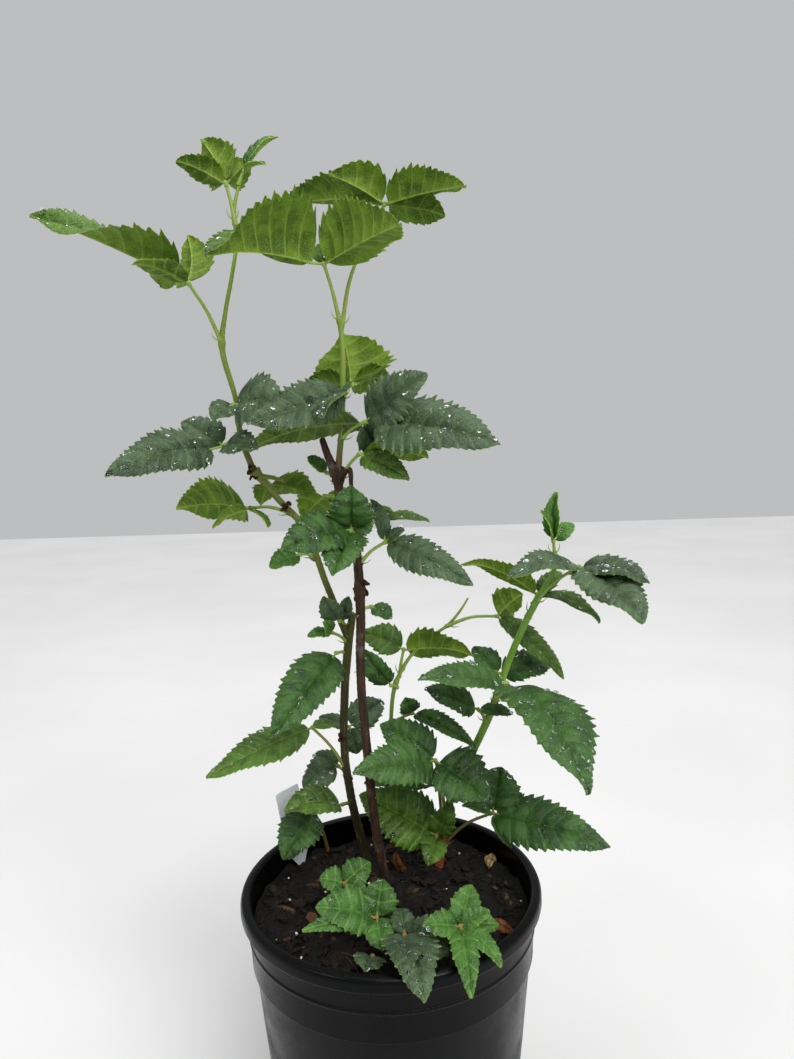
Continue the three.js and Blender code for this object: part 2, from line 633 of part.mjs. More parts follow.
      { tip: [52, 46, 283], width: 15, face: [0, -0.6, 0.8] },
    ] },
    { name: 'young_leaf_5', look: 'darkLeaf', node: [57, 24, 245], hub: [52, 17, 255], leaflets: [
      { tip: [22, 8, 271], width: 18, face: [0, -0.6, 0.8], arch: 0.03 },
      { tip: [72, 20, 251], width: 8, face: [0, -0.6, 0.8] },
    ] },
    { name: 'young_leaf_6', look: 'darkLeaf', node: [31, 34, 166], hub: [59, 16, 194], leaflets: [
      { tip: [119, -12, 187], width: 29, face: [0, -0.65, 0.75], arch: 0.05, fold: 10 },
      { tip: [65, 26, 217], width: 28, face: [0, -0.85, 0.5] },
      { tip: [41, 2, 206], width: 8, face: [0, -0.6, 0.8] },
      { tip: [68, 4, 179], width: 8, face: [0, -0.8, 0.5] },
    ] },
    { name: 'young_leaf_7', look: 'darkLeaf', node: [33, 33, 184], hub: [27, 14, 227], leaflets: [
      { tip: [-4, 30, 244], width: 24, face: [0, -0.6, 0.8] },
      { tip: [-18, -12, 233], width: 26, face: [0, -0.7, 0.7], arch: 0.06, fold: 10 },
      { tip: [55, -2, 211], width: 32, face: [0.1, -0.7, 0.7] },
    ] },
    { name: 'young_leaf_8', look: 'darkLeaf', node: [31, 34, 172], hub: [29, 31, 207], leaflets: [
      { tip: [-15, 34, 206], width: 15, face: [0, -0.5, 0.85] },
      { tip: [11, 20, 210], width: 9, face: [0, -0.5, 0.85] },
    ] },
    { name: 'young_leaf_9', look: 'freshLeaf', node: [30, 34, 160], hub: [27, 26, 176], leaflets: [
      { tip: [-18, 34, 199], width: 33, face: [0, -0.75, 0.65] },
      { tip: [21, 8, 168], width: 15, face: [0, -0.9, 0.4] },
      { tip: [36, 22, 198], width: 14, face: [0, -0.85, 0.4] },
    ] },
  ],
  soil: [
    { name: 'low_leaf_5', look: 'darkLeaf', node: [-40, 56, 152], hub: [-46, 44, 184], leaflets: [
      { tip: [-63, 22, 166], width: 25, face: [-0.2, -0.8, 0.5], arch: 0.1 },
    ] },
    { name: 'front_leaf_1', look: 'youngLeaf', node: [-6, -33, 152], hub: [-7, -38, 167], leaflets: [
      { tip: [-37, -45, 178], width: 22, face: [0, -0.55, 0.85] },
      { tip: [-4, -28, 182], width: 18, face: [0, -0.85, 0.5] },
      { tip: [-4, -54, 160], width: 15, face: [0, -0.7, 0.7] },
      { tip: [-43, -54, 172], width: 10, face: [0, -0.6, 0.8] },
    ] },
    { name: 'front_leaf_2', look: 'youngLeaf', node: [-26, -13, 152], hub: [-25, -13, 171], leaflets: [
      { tip: [-38, -14, 175], width: 14, face: [0, -0.5, 0.85] },
      { tip: [-11, -4, 178], width: 15, face: [0, -0.6, 0.8] },
      { tip: [-12, -21, 170], width: 8, face: [0, -0.6, 0.8] },
    ] },
    { name: 'front_leaf_3', look: 'blueLeaf', node: [8, -44, 152], hub: [7, -50, 165], leaflets: [
      { tip: [32, -58, 164], width: 20, face: [0, -0.8, 0.6] },
      { tip: [7, -84, 169], width: 20, face: [0, -0.1, 1], arch: 0.12 },
      { tip: [15, -93, 162], width: 24, face: [0, -0.1, 1], arch: 0.16 },
      { tip: [5, -35, 170], width: 11, face: [0, -0.7, 0.7] },
    ] },
    { name: 'front_leaf_4', look: 'blueLeaf', node: [-9, -52, 152], hub: [-9, -54, 157], leaflets: [
      { tip: [-12, -66, 158], width: 15, face: [0, -0.3, 1] },
    ] },
    { name: 'front_leaf_5', look: 'youngLeaf', node: [27, -50, 152], hub: [34, -55, 172], leaflets: [
      { tip: [41, -42, 186], width: 14, face: [0, -0.8, 0.5] },
      { tip: [49, -52, 178], width: 9, face: [0, -0.6, 0.8], fold: 30 },
      { tip: [16, -64, 179], width: 13, face: [0, -0.6, 0.8] },
      { tip: [54, -48, 168], width: 11, face: [0, -0.5, 0.85] },
      { tip: [36, -90, 161], width: 12, face: [0, -0.2, 1], arch: 0.14 },
      { tip: [52, -74, 164], width: 10, face: [0.1, -0.2, 1], arch: 0.14 },
    ] },
  ],
};

function leafPiece(spec, stem) {
  const whole = leafSolid(spec);
  if (stem === 'soil') {
    return piece(spec.name, spec.look, whole, spec.node);
  }
  return piece(spec.name, spec.look, mainPiece(whole.subtract(stemSolid(stem, CLEARANCE))), spec.node);
}

/** Socket in the soil around the petiole of a leaf that rises from the roots. */
function petioleSocket({ node, hub }) {
  const radius = PETIOLE_RADIUS * 1.25 + 2 * CLEARANCE;
  const foot = vector(node).addScaledVector(UP, -CLEARANCE);
  return taperedTube([foot.toArray(), hub], [radius, radius], 6, 1);
}

// ---------- label and litter ----------

const labelFoot = [-57, 45, SOIL_LEVEL + 10];
const labelYaw = 0.7;
const labelLean = -0.16;

/** Blank plant label: a plate with a spike below it, standing at its own origin. */
function labelSolid(grow = 0) {
  const half = LABEL_WIDTH / 2 + grow;
  const top = LABEL_PANEL_HEIGHT;
  const corner = 1.5;
  const outline = new THREE.Shape();
  outline.moveTo(0, -LABEL_SPIKE_HEIGHT - grow);
  outline.lineTo(half, 0);
  outline.lineTo(half, top - corner);
  outline.lineTo(half - corner, top);
  outline.lineTo(corner - half, top);
  outline.lineTo(-half, top - corner);
  outline.lineTo(-half, 0);
  outline.closePath();
  const depth = LABEL_THICKNESS + 2 * grow;
  const plate = new THREE.ExtrudeGeometry(outline, { depth, bevelEnabled: false });
  plate.translate(0, 0, -depth / 2);
  plate.rotateX(Math.PI / 2);
  return solidOf(plate);
}

/** Turns and moves a mesh that holds the label's shape to where the label stands. */
function standLabel(mesh) {
  mesh.rotation.set(0, labelLean, labelYaw, 'ZYX');
  mesh.position.set(...labelFoot);
  return mesh;
}

function labelSocket() {
  const mesh = standLabel(new THREE.Mesh(geometryOf(labelSolid(CLEARANCE))));
  mesh.updateMatrix();
  return solidOf(mesh.geometry.applyMatrix4(mesh.matrix));
}

// Fallen leaves that lie on the soil: where the middle is, and which way they point and look.
const litter = [
  {
    name: 'fallen_leaf_beige', look: 'dryLeaf', from: [63, 36], to: [56, 38], width: 11,
    lift: 1.3, rise: 1,
  },
  {
    name: 'fallen_leaf_brown', look: 'deadLeaf', from: [50, -22], to: [64, -30], width: 8,
    lift: 1.6, rise: 0,
  },
  {
    name: 'withered_leaf', look: 'deadLeaf', from: [7, 30], to: [2, 31], width: 8,
    lift: 1.5, rise: 13,
  },
];

function litterPiece({ name, look, from, to, width, lift, rise }) {
  const ground = ([x, y]) => soilHeight(x, y) + lift;
  const base = [from[0], from[1], ground(from)];
  const tip = [to[0], to[1], ground(to) + rise];
  const face = rise > 5 ? [-1, -1, 0] : [0, -0.2, 1];
  return piece(name, look, leafletSolid(base, { tip, width, face, fold: 10 }), base);
}

// ---------- assembly ----------

const group = new THREE.Group();
const holder = new THREE.Group();
const plant = new THREE.Group();
const ground = new THREE.Group();
group.add(holder, plant, ground);

const rooted = ['left_cane', 'right_cane', 'young_cane', 'back_shoot'];
const sockets = [
  ...rooted.map((name) => stemSolid(name, CLEARANCE)),
  ...leaves.soil.map(petioleSocket),
  labelSocket(),
];

holder.add(piece('pot', 'pot', potSolid()));
holder.add(piece('soil', 'soil', mainPiece(rootBall().subtract(union(sockets)))));
holder.add(standLabel(piece('label', 'label', labelSolid())));

const stems = {
  left_cane: stemSolid('left_cane'),
  left_shoot: mainPiece(stemSolid('left_shoot').subtract(stemSolid('left_cane', CLEARANCE))),
  right_cane: stemSolid('right_cane'),
  right_shoot: mainPiece(stemSolid('right_shoot').subtract(stemSolid('right_cane', CLEARANCE))),
  young_cane: stemSolid('young_cane'),
  back_shoot: stemSolid('back_shoot'),
};
for (const [name, solid] of Object.entries(stems)) {
  plant.add(piece(name, name === 'left_cane' || name === 'right_cane' ? 'bark' : 'greenStem', solid));
}
for (const [stem, list] of Object.entries(leaves)) {
  for (const spec of list) {
    plant.add(leafPiece(spec, stem));
  }
}
for (const spec of litter) {
  ground.add(litterPiece(spec));
}

export default group;
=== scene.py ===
"""Looks of a potted bramble plant: toothed compound leaves on upright canes in a black nursery pot.

Lists of points and widths are in millimetres, in the row frame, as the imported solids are.
Everything that is built from them is in metres.
"""

import math
import random

import bmesh
import bpy
import numpy as np
from mathutils import Matrix, Vector


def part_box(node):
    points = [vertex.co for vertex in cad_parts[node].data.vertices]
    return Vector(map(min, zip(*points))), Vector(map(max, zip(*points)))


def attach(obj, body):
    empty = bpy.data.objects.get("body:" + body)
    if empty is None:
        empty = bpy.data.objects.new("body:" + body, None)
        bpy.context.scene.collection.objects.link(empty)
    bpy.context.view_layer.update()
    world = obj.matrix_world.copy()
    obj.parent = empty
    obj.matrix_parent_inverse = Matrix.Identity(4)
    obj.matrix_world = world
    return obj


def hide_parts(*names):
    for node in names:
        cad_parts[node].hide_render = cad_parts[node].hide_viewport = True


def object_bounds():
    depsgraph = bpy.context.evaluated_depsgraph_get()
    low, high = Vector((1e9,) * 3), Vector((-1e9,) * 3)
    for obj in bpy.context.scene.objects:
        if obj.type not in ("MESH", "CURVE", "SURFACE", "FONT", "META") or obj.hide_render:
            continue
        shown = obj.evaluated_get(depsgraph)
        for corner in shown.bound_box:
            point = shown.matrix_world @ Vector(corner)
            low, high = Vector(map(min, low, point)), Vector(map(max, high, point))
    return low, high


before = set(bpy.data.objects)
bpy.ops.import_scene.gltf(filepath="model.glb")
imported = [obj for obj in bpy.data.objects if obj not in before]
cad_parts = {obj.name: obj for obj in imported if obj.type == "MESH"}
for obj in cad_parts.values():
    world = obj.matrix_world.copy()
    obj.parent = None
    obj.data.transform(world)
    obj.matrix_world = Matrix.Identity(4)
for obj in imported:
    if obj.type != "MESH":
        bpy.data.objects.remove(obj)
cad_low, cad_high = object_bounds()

MM = 0.001

# ---------- leaves: sizes shared by all of them ----------

LEAF_ARCH = 0.08
LEAF_FOLD = 16
BLADE_THICKNESS = 0.34
PETIOLE_RADIUS = 0.95
STALK_RADIUS = 0.7
ROWS_PER_VEIN = 12
VEIN_SLANT = 0.55
TOOTH_DEPTH = 0.17
# How the blade widens from its base and narrows to its tip, as powers of the way along it.
BASE_POWER = 0.5
TIP_POWER_SHORT = 0.8
TIP_POWER_LONG = 1.0
TOOTH_LEAN = 0.018
QUILT_DEPTH = 0.075
# How far each row's margin stands out between two side veins: one large tooth and one smaller.
TEETH = np.array([1.0, -0.1, 0.1, 0.3, 0.46, 0.62, 0.8, -0.15, 0.08, 0.3, 0.52, 0.76])

# ---------- pot and soil: sizes that the solids do not give by their boxes ----------

LIP_HEIGHT = 7.7
LIP_WIDTH = 6
POT_WALL = 1.5
POT_FLOOR = 2.2
UPPER_RING_DROP = 19.7
LOWER_RING_DROP = 35.6
SOIL_DROP = 14
DRAIN_HOLES = 6
DRAIN_HOLE_RADIUS = 5.5
DRAIN_CIRCLE_RADIUS = 48
DROPS_PER_AREA = 0.05
# Half the width of the smallest water drop, how much a lucky one gains on it, and how high it stands.
DROP_SIZE = 0.5
DROP_GAIN = 1.3
DROP_RISE = 0.72

_, pot_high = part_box("pot")
POT_HEIGHT = pot_high.z / MM
LIP_RADIUS = 82.5
BASE_RADIUS = 63.5
SOIL_LEVEL = POT_HEIGHT - SOIL_DROP

# Each stem is one or more runs of points, with the stem's radius at each point, and its knots.
STEMS = {
  "left_cane": dict(
    runs=[
      dict(
        points=[[-13, 43, 127], [-15, 43, 151], [-21, 41, 181], [-26, 40, 224],
          [-25, 39, 252], [-21, 37, 290], [-18, 36, 308]],
        radii=[2.4, 2.8, 2.5, 2.4, 2.4, 2.5, 2.1],
      ),
      dict(
        points=[[-21, 37, 292], [-27, 32, 312], [-32, 29, 328], [-44, 23, 363],
          [-57, 20, 379], [-67, 17, 393]],
        radii=[2, 1.9, 1.8, 1.8, 1.7, 2],
      ),
      dict(
        points=[[-65, 17, 390], [-57, 16, 389], [-51, 15, 387]],
        radii=[1.5, 1.1, 0.9],
      ),
    ],
    knots=[[-67, 17, 393, 3.4]],
  ),
  "left_shoot": dict(
    runs=[
      dict(
        points=[[-68, 17, 394], [-73, 15, 411], [-74, 12, 430], [-79, 8, 461], [-76, 6, 475],
          [-71, 5, 495], [-68, 4, 509], [-68, 3, 525], [-64, 3, 541]],
        radii=[1.7, 1.5, 1.3, 1.5, 1.1, 1, 1, 0.9, 0.7],
      ),
    ],
    knots=[[-79, 8, 460, 2], [-68, 3, 519, 1.5]],
  ),
  "right_cane": dict(
    runs=[
      dict(
        points=[[-1, 13, 127], [-3, 13, 151], [-8, 12, 190], [-11, 10, 235], [-13, 9, 275],
          [-12, 8, 328], [-14, 7, 356], [-21, 6, 378], [-21, 5, 391]],
        radii=[2.6, 2.9, 2.6, 2.5, 2.4, 2.6, 2.3, 2.2, 2.4],
      ),
      dict(
        points=[[-22, 5, 390], [-26, 6, 400], [-29, 8, 409]],
        radii=[2.6, 2, 1.6],
      ),
      dict(
        points=[[-19, 4, 391], [-15, 1, 393], [-14, 0, 384]],
        radii=[1.6, 1.4, 1],
      ),
    ],
    knots=[[-21, 5, 390, 3.7], [-12, 8, 327, 3.3]],
  ),
  "right_shoot": dict(
    runs=[
      dict(
        points=[[-21, 5, 391], [-20, 5, 400], [-18, 4, 415], [-17, 4, 432], [-16, 3, 456],
          [-17, 3, 471]],
        radii=[1.8, 1.6, 1.5, 1.4, 1.3, 1.4],
      ),
    ],
    knots=[[-17, 4, 431, 2], [-17, 3, 469, 1.9]],
  ),
  "young_cane": dict(
    runs=[
      dict(
        points=[[27, 34, 127], [28, 34, 151], [31, 34, 169], [36, 32, 195], [48, 28, 223],
          [60, 23, 252], [69, 19, 280], [78, 14, 304], [86, 10, 321], [93, 6, 336], [93, 4, 346]],
        radii=[2.6, 3, 2.7, 2.3, 2.1, 2.2, 1.9, 1.9, 1.7, 1.3, 1],
      ),
    ],
    knots=[],
  ),
  "back_shoot": dict(
    runs=[
      dict(
        points=[[1, 60, 130], [1, 60, 151], [0, 52, 195], [2, 48, 238], [6, 46, 263],
          [15, 45, 279], [26, 44, 290], [38, 44, 298], [46, 45, 307], [50, 46, 313]],
        radii=[1.3, 1.3, 1.2, 1.1, 1.3, 1, 0.9, 0.9, 0.7, 0.5],
      ),
    ],
    knots=[[6, 46, 263, 1.8]],
  ),
}

# Leaves by the stem that carries them. node is on the stem's axis, and hub is where the leaflets
# meet. face is the way a leaflet's upper side looks, arch lifts its middle as a share of its length,
# fold and twist are in degrees, and stalk is the bare stretch before the blade.
LEAVES = {
  "left_shoot": [
    dict(name="left_leaf_1", look="freshLeaf", node=[-68, 3, 519], hub=[-71, 0, 537], leaflets=[
      dict(tip=[-93, -9, 546], width=15, face=[-0.2, 0.6, 1]),
      dict(tip=[-84, 10, 562], width=23, face=[0.3, 0.9, 0.4]),
      dict(tip=[-60, 12, 552], width=14, face=[0.2, 0.8, 0.6]),
    ]),
    dict(name="left_leaf_2", look="freshLeaf", node=[-79, 8, 460], hub=[-91, -6, 488], leaflets=[
      dict(
        tip=[-157, -30, 517], width=40, face=[0, 0.75, 0.65], stalk=6, twist=-112, arch=0.05,
        fold=26,
      ),
      dict(tip=[-110, -34, 493], width=15, face=[0, 0.4, 0.9]),
      dict(tip=[-95, 16, 516], width=24, face=[0.2, 0.9, 0.3]),
    ]),
    dict(name="left_leaf_3", look="blueLeaf", node=[-72, 15, 412], hub=[-80, 4, 407], leaflets=[
      dict(tip=[-130, -34, 395], width=28, face=[0, -0.8, 0.6], stalk=8, arch=0.1, fold=10),
      dict(tip=[-103, 10, 421], width=20, face=[0, -0.6, 0.8], arch=0.04),
      dict(tip=[-59, -16, 406], width=16, face=[0, -0.8, 0.6]),
    ]),
    dict(name="left_leaf_4", look="blueLeaf", node=[-75, 12, 428], hub=[-74, 2, 428], leaflets=[
      dict(tip=[-46, -8, 430], width=32, face=[0, -0.8, 0.6], arch=0.06, fold=10),
      dict(tip=[-83, -8, 421], width=14, face=[0, -0.8, 0.6]),
    ]),
    dict(name="left_leaf_young", look="youngLeaf", node=[-65, 3, 538], hub=[-62, 3, 544], leaflets=[
      dict(tip=[-45, 6, 561], width=10, face=[-0.4, -0.5, 0.6], fold=40),
      dict(tip=[-50, -6, 544], width=6, face=[0, -0.3, 1], fold=35),
    ]),
  ],
  "left_cane": [
    dict(name="left_leaf_5", look="freshLeaf", node=[-49, 21, 369], hub=[-73, 26, 372], leaflets=[
      dict(tip=[-117, 40, 372], width=34, face=[0, 0.75, 0.6]),
      dict(tip=[-91, 14, 363], width=16, face=[0, 0.5, 0.8]),
      dict(tip=[-60, 12, 363], width=11, face=[0, 0.5, 0.8]),
    ]),
    dict(name="left_leaf_6", look="freshLeaf", node=[-63, 18, 388], hub=[-62, 32, 385], leaflets=[
      dict(tip=[-37, 42, 376], width=26, face=[0, 0.55, 0.85]),
      dict(tip=[-70, 48, 372], width=13, face=[0, 0.5, 0.85]),
    ]),
    dict(name="mid_leaf_5", look="youngLeaf", node=[-38, 26, 343], hub=[-44, 12, 347], leaflets=[
      dict(tip=[-59, 2, 342], width=14, face=[0, -0.6, 0.8]),
    ]),
    dict(name="mid_leaf_6", look="blueLeaf", node=[-22, 37, 300], hub=[-25, 27, 306], leaflets=[
      dict(tip=[-33, 19, 322], width=13, face=[-0.3, -0.8, 0.4]),
      dict(tip=[-19, 22, 321], width=9, face=[0.3, -0.9, 0.3]),
    ]),
    dict(name="mid_leaf_7", look="youngLeaf", node=[-21, 37, 290], hub=[-30, 29, 299], leaflets=[
      dict(tip=[-43, 22, 299], width=8, face=[0, -0.5, 0.8]),
      dict(tip=[-33, 18, 308], width=8, face=[0, -0.8, 0.5]),
    ]),
    dict(name="back_leaf_5", look="blueLeaf", node=[-26, 40, 236], hub=[-24, 57, 232], leaflets=[
      dict(tip=[-43, 62, 237], width=9, face=[0, -0.6, 0.8]),
      dict(tip=[-3, 72, 243], width=20, face=[0, -0.7, 0.7]),
      dict(tip=[-19, 56, 215], width=14, face=[0, -0.8, 0.5]),
    ]),
    dict(name="low_leaf_1", look="darkLeaf", node=[-22, 38, 284], hub=[-28, 32, 286], leaflets=[
      dict(tip=[-62, -6, 251], width=29, face=[-0.1, -0.8, 0.55], arch=0.04),
    ]),
    dict(name="low_leaf_2", look="freshLeaf", node=[-25, 40, 211], hub=[-44, 34, 241], leaflets=[
      dict(tip=[-102, 10, 223], width=25, face=[0, -0.45, 0.9], arch=0.03, fold=10),
      dict(tip=[-31, 47, 237], width=9, face=[0, -0.4, 0.9]),
    ]),
    dict(name="low_leaf_3", look="blueLeaf", node=[-24, 40, 206], hub=[-31, 50, 210], leaflets=[
      dict(tip=[-47, 62, 213], width=12, face=[0, -0.6, 0.8]),
      dict(tip=[-53, 48, 197], width=22, face=[-0.1, -0.5, 0.85], arch=0.12),
    ]),
    dict(name="low_leaf_4", look="freshLeaf", node=[-23, 41, 190], hub=[-28, 34, 193], leaflets=[
      dict(tip=[-60, 16, 199], width=24, face=[0, -0.35, 0.95], arch=0.12),
    ]),
  ],
  "right_shoot": [
    dict(name="right_leaf_1", look="freshLeaf", node=[-17, 3, 468], hub=[-23, -9, 495], leaflets=[
      dict(tip=[-72, -50, 492], width=58, face=[0, 0.55, 0.85], stalk=7, fold=44, arch=0.07, twist=-30),
      dict(tip=[15, -42, 505], width=42, face=[0, 0.7, 0.7], fold=44, arch=0.03),
      dict(tip=[-29, 12, 509], width=9, face=[0, -0.8, 0.5]),
    ]),
    dict(name="right_leaf_2", look="freshLeaf", node=[-16, 3, 466], hub=[8, -4, 524],
      via=[[-11, 2, 489], [-5, 0, 503]], leaflets=[
        dict(tip=[-18, -16, 535], width=25, face=[0, 0.45, 0.9], arch=0.06, fold=38),
        dict(tip=[-51, 24, 530], width=26, face=[0, 0.45, 0.9], arch=0.08, fold=38),
        dict(tip=[46, -30, 524], width=25, face=[0, 0.5, 0.85], arch=0.03, fold=40),
        dict(tip=[38, -6, 517], width=20, face=[0, 0.7, 0.7]),
      ]),
    dict(name="right_leaf_3", look="freshLeaf", node=[-17, 4, 434], hub=[-13, 17, 437], leaflets=[
      dict(tip=[-18, 40, 467], width=46, face=[0, 0.85, 0.5]),
      dict(tip=[-41, 28, 436], width=18, face=[0, 0.8, 0.6]),
      dict(tip=[8, 32, 442], width=18, face=[0, 0.8, 0.6]),
    ]),
    dict(name="right_leaf_4", look="blueLeaf", node=[-17, 4, 429], hub=[-14, -7, 433], leaflets=[
      dict(tip=[-62, -26, 418], width=26, face=[0, -0.85, 0.5], arch=-0.02, fold=10),
      dict(tip=[-26, -30, 420], width=24, face=[0, 0.5, 0.85], arch=0.05),
    ]),
    dict(name="right_leaf_5", look="blueLeaf", node=[-19, 4, 408], hub=[-6, -3, 417], leaflets=[
      dict(tip=[59, -40, 405], width=37, face=[0, -0.75, 0.65], stalk=9, arch=0.06, fold=10),
      dict(tip=[26, -18, 440], width=26, face=[0, -0.85, 0.5], arch=0.04, fold=10),
      dict(tip=[-70, 18, 405], width=28, face=[0, 0.6, 0.8]),
      dict(tip=[-1, 14, 401], width=16, face=[0, -0.9, 0.4]),
    ]),
  ],
  "right_cane": [
    dict(name="right_leaf_6", look="freshLeaf", node=[-20, 5, 387], hub=[-9, -6, 401], leaflets=[
      dict(tip=[16, -22, 388], width=14, face=[0.2, -0.9, 0.4]),
      dict(tip=[27, 8, 398], width=26, face=[0, 0.6, 0.8]),
    ]),
    dict(name="right_leaf_7", look="youngLeaf", node=[-21, 5, 386], hub=[-28, 14, 391], leaflets=[
      dict(tip=[-38, 17, 400], width=8, face=[0, -0.6, 0.8]),
    ]),
    dict(name="mid_leaf_1", look="darkLeaf", node=[-13, 7, 352], hub=[-14, -12, 363], leaflets=[
      dict(tip=[-13, -22, 386], width=22, face=[0, -0.9, 0.35]),
      dict(tip=[-47, -36, 357], width=27, face=[-0.1, -0.75, 0.6], stalk=2),
      dict(tip=[-22, -42, 345], width=22, face=[0, -0.8, 0.6], stalk=3),
      dict(tip=[-3, -10, 366], width=14, face=[0, -0.8, 0.6]),
    ]),
    dict(name="mid_leaf_2", look="blueLeaf", node=[-12, 8, 341], hub=[3, 2, 354], leaflets=[
      dict(tip=[47, -20, 334], width=20, face=[0, -0.75, 0.65], arch=0.05, fold=10),
      dict(tip=[-4, 3, 377], width=10, face=[0.6, -0.7, 0.3]),
      dict(tip=[13, 0, 361], width=7, face=[0, -0.7, 0.7]),
    ]),
    dict(name="mid_leaf_3", look="freshLeaf", node=[-14, 7, 358], hub=[1, 26, 364], leaflets=[
      dict(tip=[28, 32, 361], width=10, face=[0, -0.4, 0.9]),
      dict(tip=[5, 30, 370], width=9, face=[0, -0.8, 0.5]),
    ]),
    dict(name="mid_leaf_4", look="freshLeaf", node=[-20, 6, 376], hub=[-30, 20, 378], leaflets=[
      dict(tip=[-43, 28, 365], width=20, face=[0, 0.7, 0.7]),
      dict(tip=[-17, 30, 369], width=20, face=[0, 0.7, 0.7]),
    ]),
    dict(name="mid_leaf_8", look="darkLeaf", node=[-12, 8, 316], hub=[-6, 12, 317], leaflets=[
      dict(tip=[5, 8, 311], width=12, face=[0, -0.4, 0.9]),
    ]),
  ],
  "back_shoot": [
    dict(name="back_leaf_1", look="freshLeaf", node=[8, 46, 267], hub=[11, 46, 283], leaflets=[
      dict(tip=[51, 30, 283], width=30, face=[0, 0.75, 0.65]),
      dict(tip=[-14, 54, 292], width=20, face=[0, -0.65, 0.75], arch=0.1),
    ]),
    dict(name="back_leaf_2", look="darkLeaf", node=[6, 46, 260], hub=[3, 40, 263], leaflets=[
      dict(tip=[-13, 36, 287], width=15, face=[-0.4, -0.9, 0.3]),
    ]),
    dict(name="back_leaf_3", look="darkLeaf", node=[1, 48, 234], hub=[15, 42, 245], leaflets=[
      dict(tip=[11, 38, 256], width=12, face=[0, -0.9, 0.3]),
      dict(tip=[50, 14, 234], width=13, face=[0.1, -0.6, 0.8], fold=30),
    ]),
    dict(name="back_leaf_4", look="freshLeaf", node=[37, 44, 297], hub=[66, 40, 303], leaflets=[
      dict(tip=[82, 44, 315], width=24, face=[0, 0.8, 0.5]),
      dict(tip=[102, 22, 270], width=15, face=[0.3, -0.6, 0.6]),
    ]),
  ],
  "young_cane": [
    dict(name="young_leaf_1", look="youngLeaf", node=[93, 4.5, 343], hub=[92, 3, 352], leaflets=[
      dict(tip=[93, 0, 378], width=10, face=[-0.6, -0.9, 0.2], fold=38),
      dict(tip=[84, -6, 369], width=7, face=[0.5, -0.6, 0.4], fold=30),
      dict(tip=[104, 8, 360], width=9, face=[-0.2, -0.8, 0.5]),
    ]),
    dict(name="young_leaf_2", look="blueLeaf", node=[83, 11, 316], hub=[105, 0, 338], leaflets=[
      dict(tip=[129, -36, 316], width=36, face=[0.3, -0.6, 0.7], arch=0.08, fold=10),
      dict(tip=[137, -18, 332], width=22, face=[0, -0.3, 0.9], arch=0.1),
      dict(tip=[64, -20, 337], width=20, face=[0, -0.35, 0.9], arch=0.12),
    ]),
    dict(name="young_leaf_3", look="freshLeaf", node=[80, 13, 309], hub=[86, 18, 320], leaflets=[
      dict(tip=[43, 6, 341], width=18, face=[0, 0.5, 0.85], arch=0.1),
      dict(tip=[117, 2, 307], width=18, face=[0.2, -0.2, 0.95], arch=0.12),
      dict(tip=[101, 26, 331], width=10, face=[0, -0.5, 0.8]),
    ]),
    dict(name="young_leaf_4", look="darkLeaf", node=[61, 22, 256], hub=[67, 8, 273], leaflets=[
      dict(tip=[98, -50, 235], width=50, face=[0.5, -0.5, 0.7], stalk=4, arch=0.13, fold=12),
      dict(tip=[18, -14, 284], width=20, face=[0, -0.5, 0.85], arch=0.06),
    ]),
    dict(name="young_leaf_10", look="darkLeaf", node=[63, 22, 262], hub=[66, 34, 270], leaflets=[
      dict(tip=[98, 38, 274], width=22, face=[0, -0.5, 0.85]),
      dict(tip=[52, 46, 283], width=15, face=[0, -0.6, 0.8]),
    ]),
    dict(name="young_leaf_5", look="darkLeaf", node=[57, 24, 245], hub=[52, 17, 255], leaflets=[
      dict(tip=[22, 8, 271], width=18, face=[0, -0.6, 0.8], arch=0.03),
      dict(tip=[72, 20, 251], width=8, face=[0, -0.6, 0.8]),
    ]),
    dict(name="young_leaf_6", look="darkLeaf", node=[31, 34, 166], hub=[59, 16, 194], leaflets=[
      dict(tip=[119, -12, 187], width=29, face=[0, -0.65, 0.75], arch=0.05, fold=10),
      dict(tip=[65, 26, 217], width=28, face=[0, -0.85, 0.5]),
      dict(tip=[41, 2, 206], width=8, face=[0, -0.6, 0.8]),
      dict(tip=[68, 4, 179], width=8, face=[0, -0.8, 0.5]),
    ]),
    dict(name="young_leaf_7", look="darkLeaf", node=[33, 33, 184], hub=[27, 14, 227], leaflets=[
      dict(tip=[-4, 30, 244], width=24, face=[0, -0.6, 0.8]),
      dict(tip=[-18, -12, 233], width=26, face=[0, -0.7, 0.7], arch=0.06, fold=10),
      dict(tip=[55, -2, 211], width=32, face=[0.1, -0.7, 0.7]),
    ]),
    dict(name="young_leaf_8", look="darkLeaf", node=[31, 34, 172], hub=[29, 31, 207], leaflets=[
      dict(tip=[-15, 34, 206], width=15, face=[0, -0.5, 0.85]),
      dict(tip=[11, 20, 210], width=9, face=[0, -0.5, 0.85]),
    ]),
    dict(name="young_leaf_9", look="freshLeaf", node=[30, 34, 160], hub=[27, 26, 176], leaflets=[
      dict(tip=[-18, 34, 199], width=33, face=[0, -0.75, 0.65]),
      dict(tip=[21, 8, 168], width=15, face=[0, -0.9, 0.4]),
      dict(tip=[36, 22, 198], width=14, face=[0, -0.85, 0.4]),
    ]),
  ],
  "soil": [
    dict(name="low_leaf_5", look="darkLeaf", node=[-40, 56, 152], hub=[-46, 44, 184], leaflets=[
      dict(tip=[-63, 22, 166], width=25, face=[-0.2, -0.8, 0.5], arch=0.1),
    ]),
    dict(name="front_leaf_1", look="youngLeaf", node=[-6, -33, 152], hub=[-7, -38, 167], leaflets=[
      dict(tip=[-37, -45, 178], width=22, face=[0, -0.55, 0.85]),
      dict(tip=[-4, -28, 182], width=18, face=[0, -0.85, 0.5]),
      dict(tip=[-4, -54, 160], width=15, face=[0, -0.7, 0.7]),
      dict(tip=[-43, -54, 172], width=10, face=[0, -0.6, 0.8]),
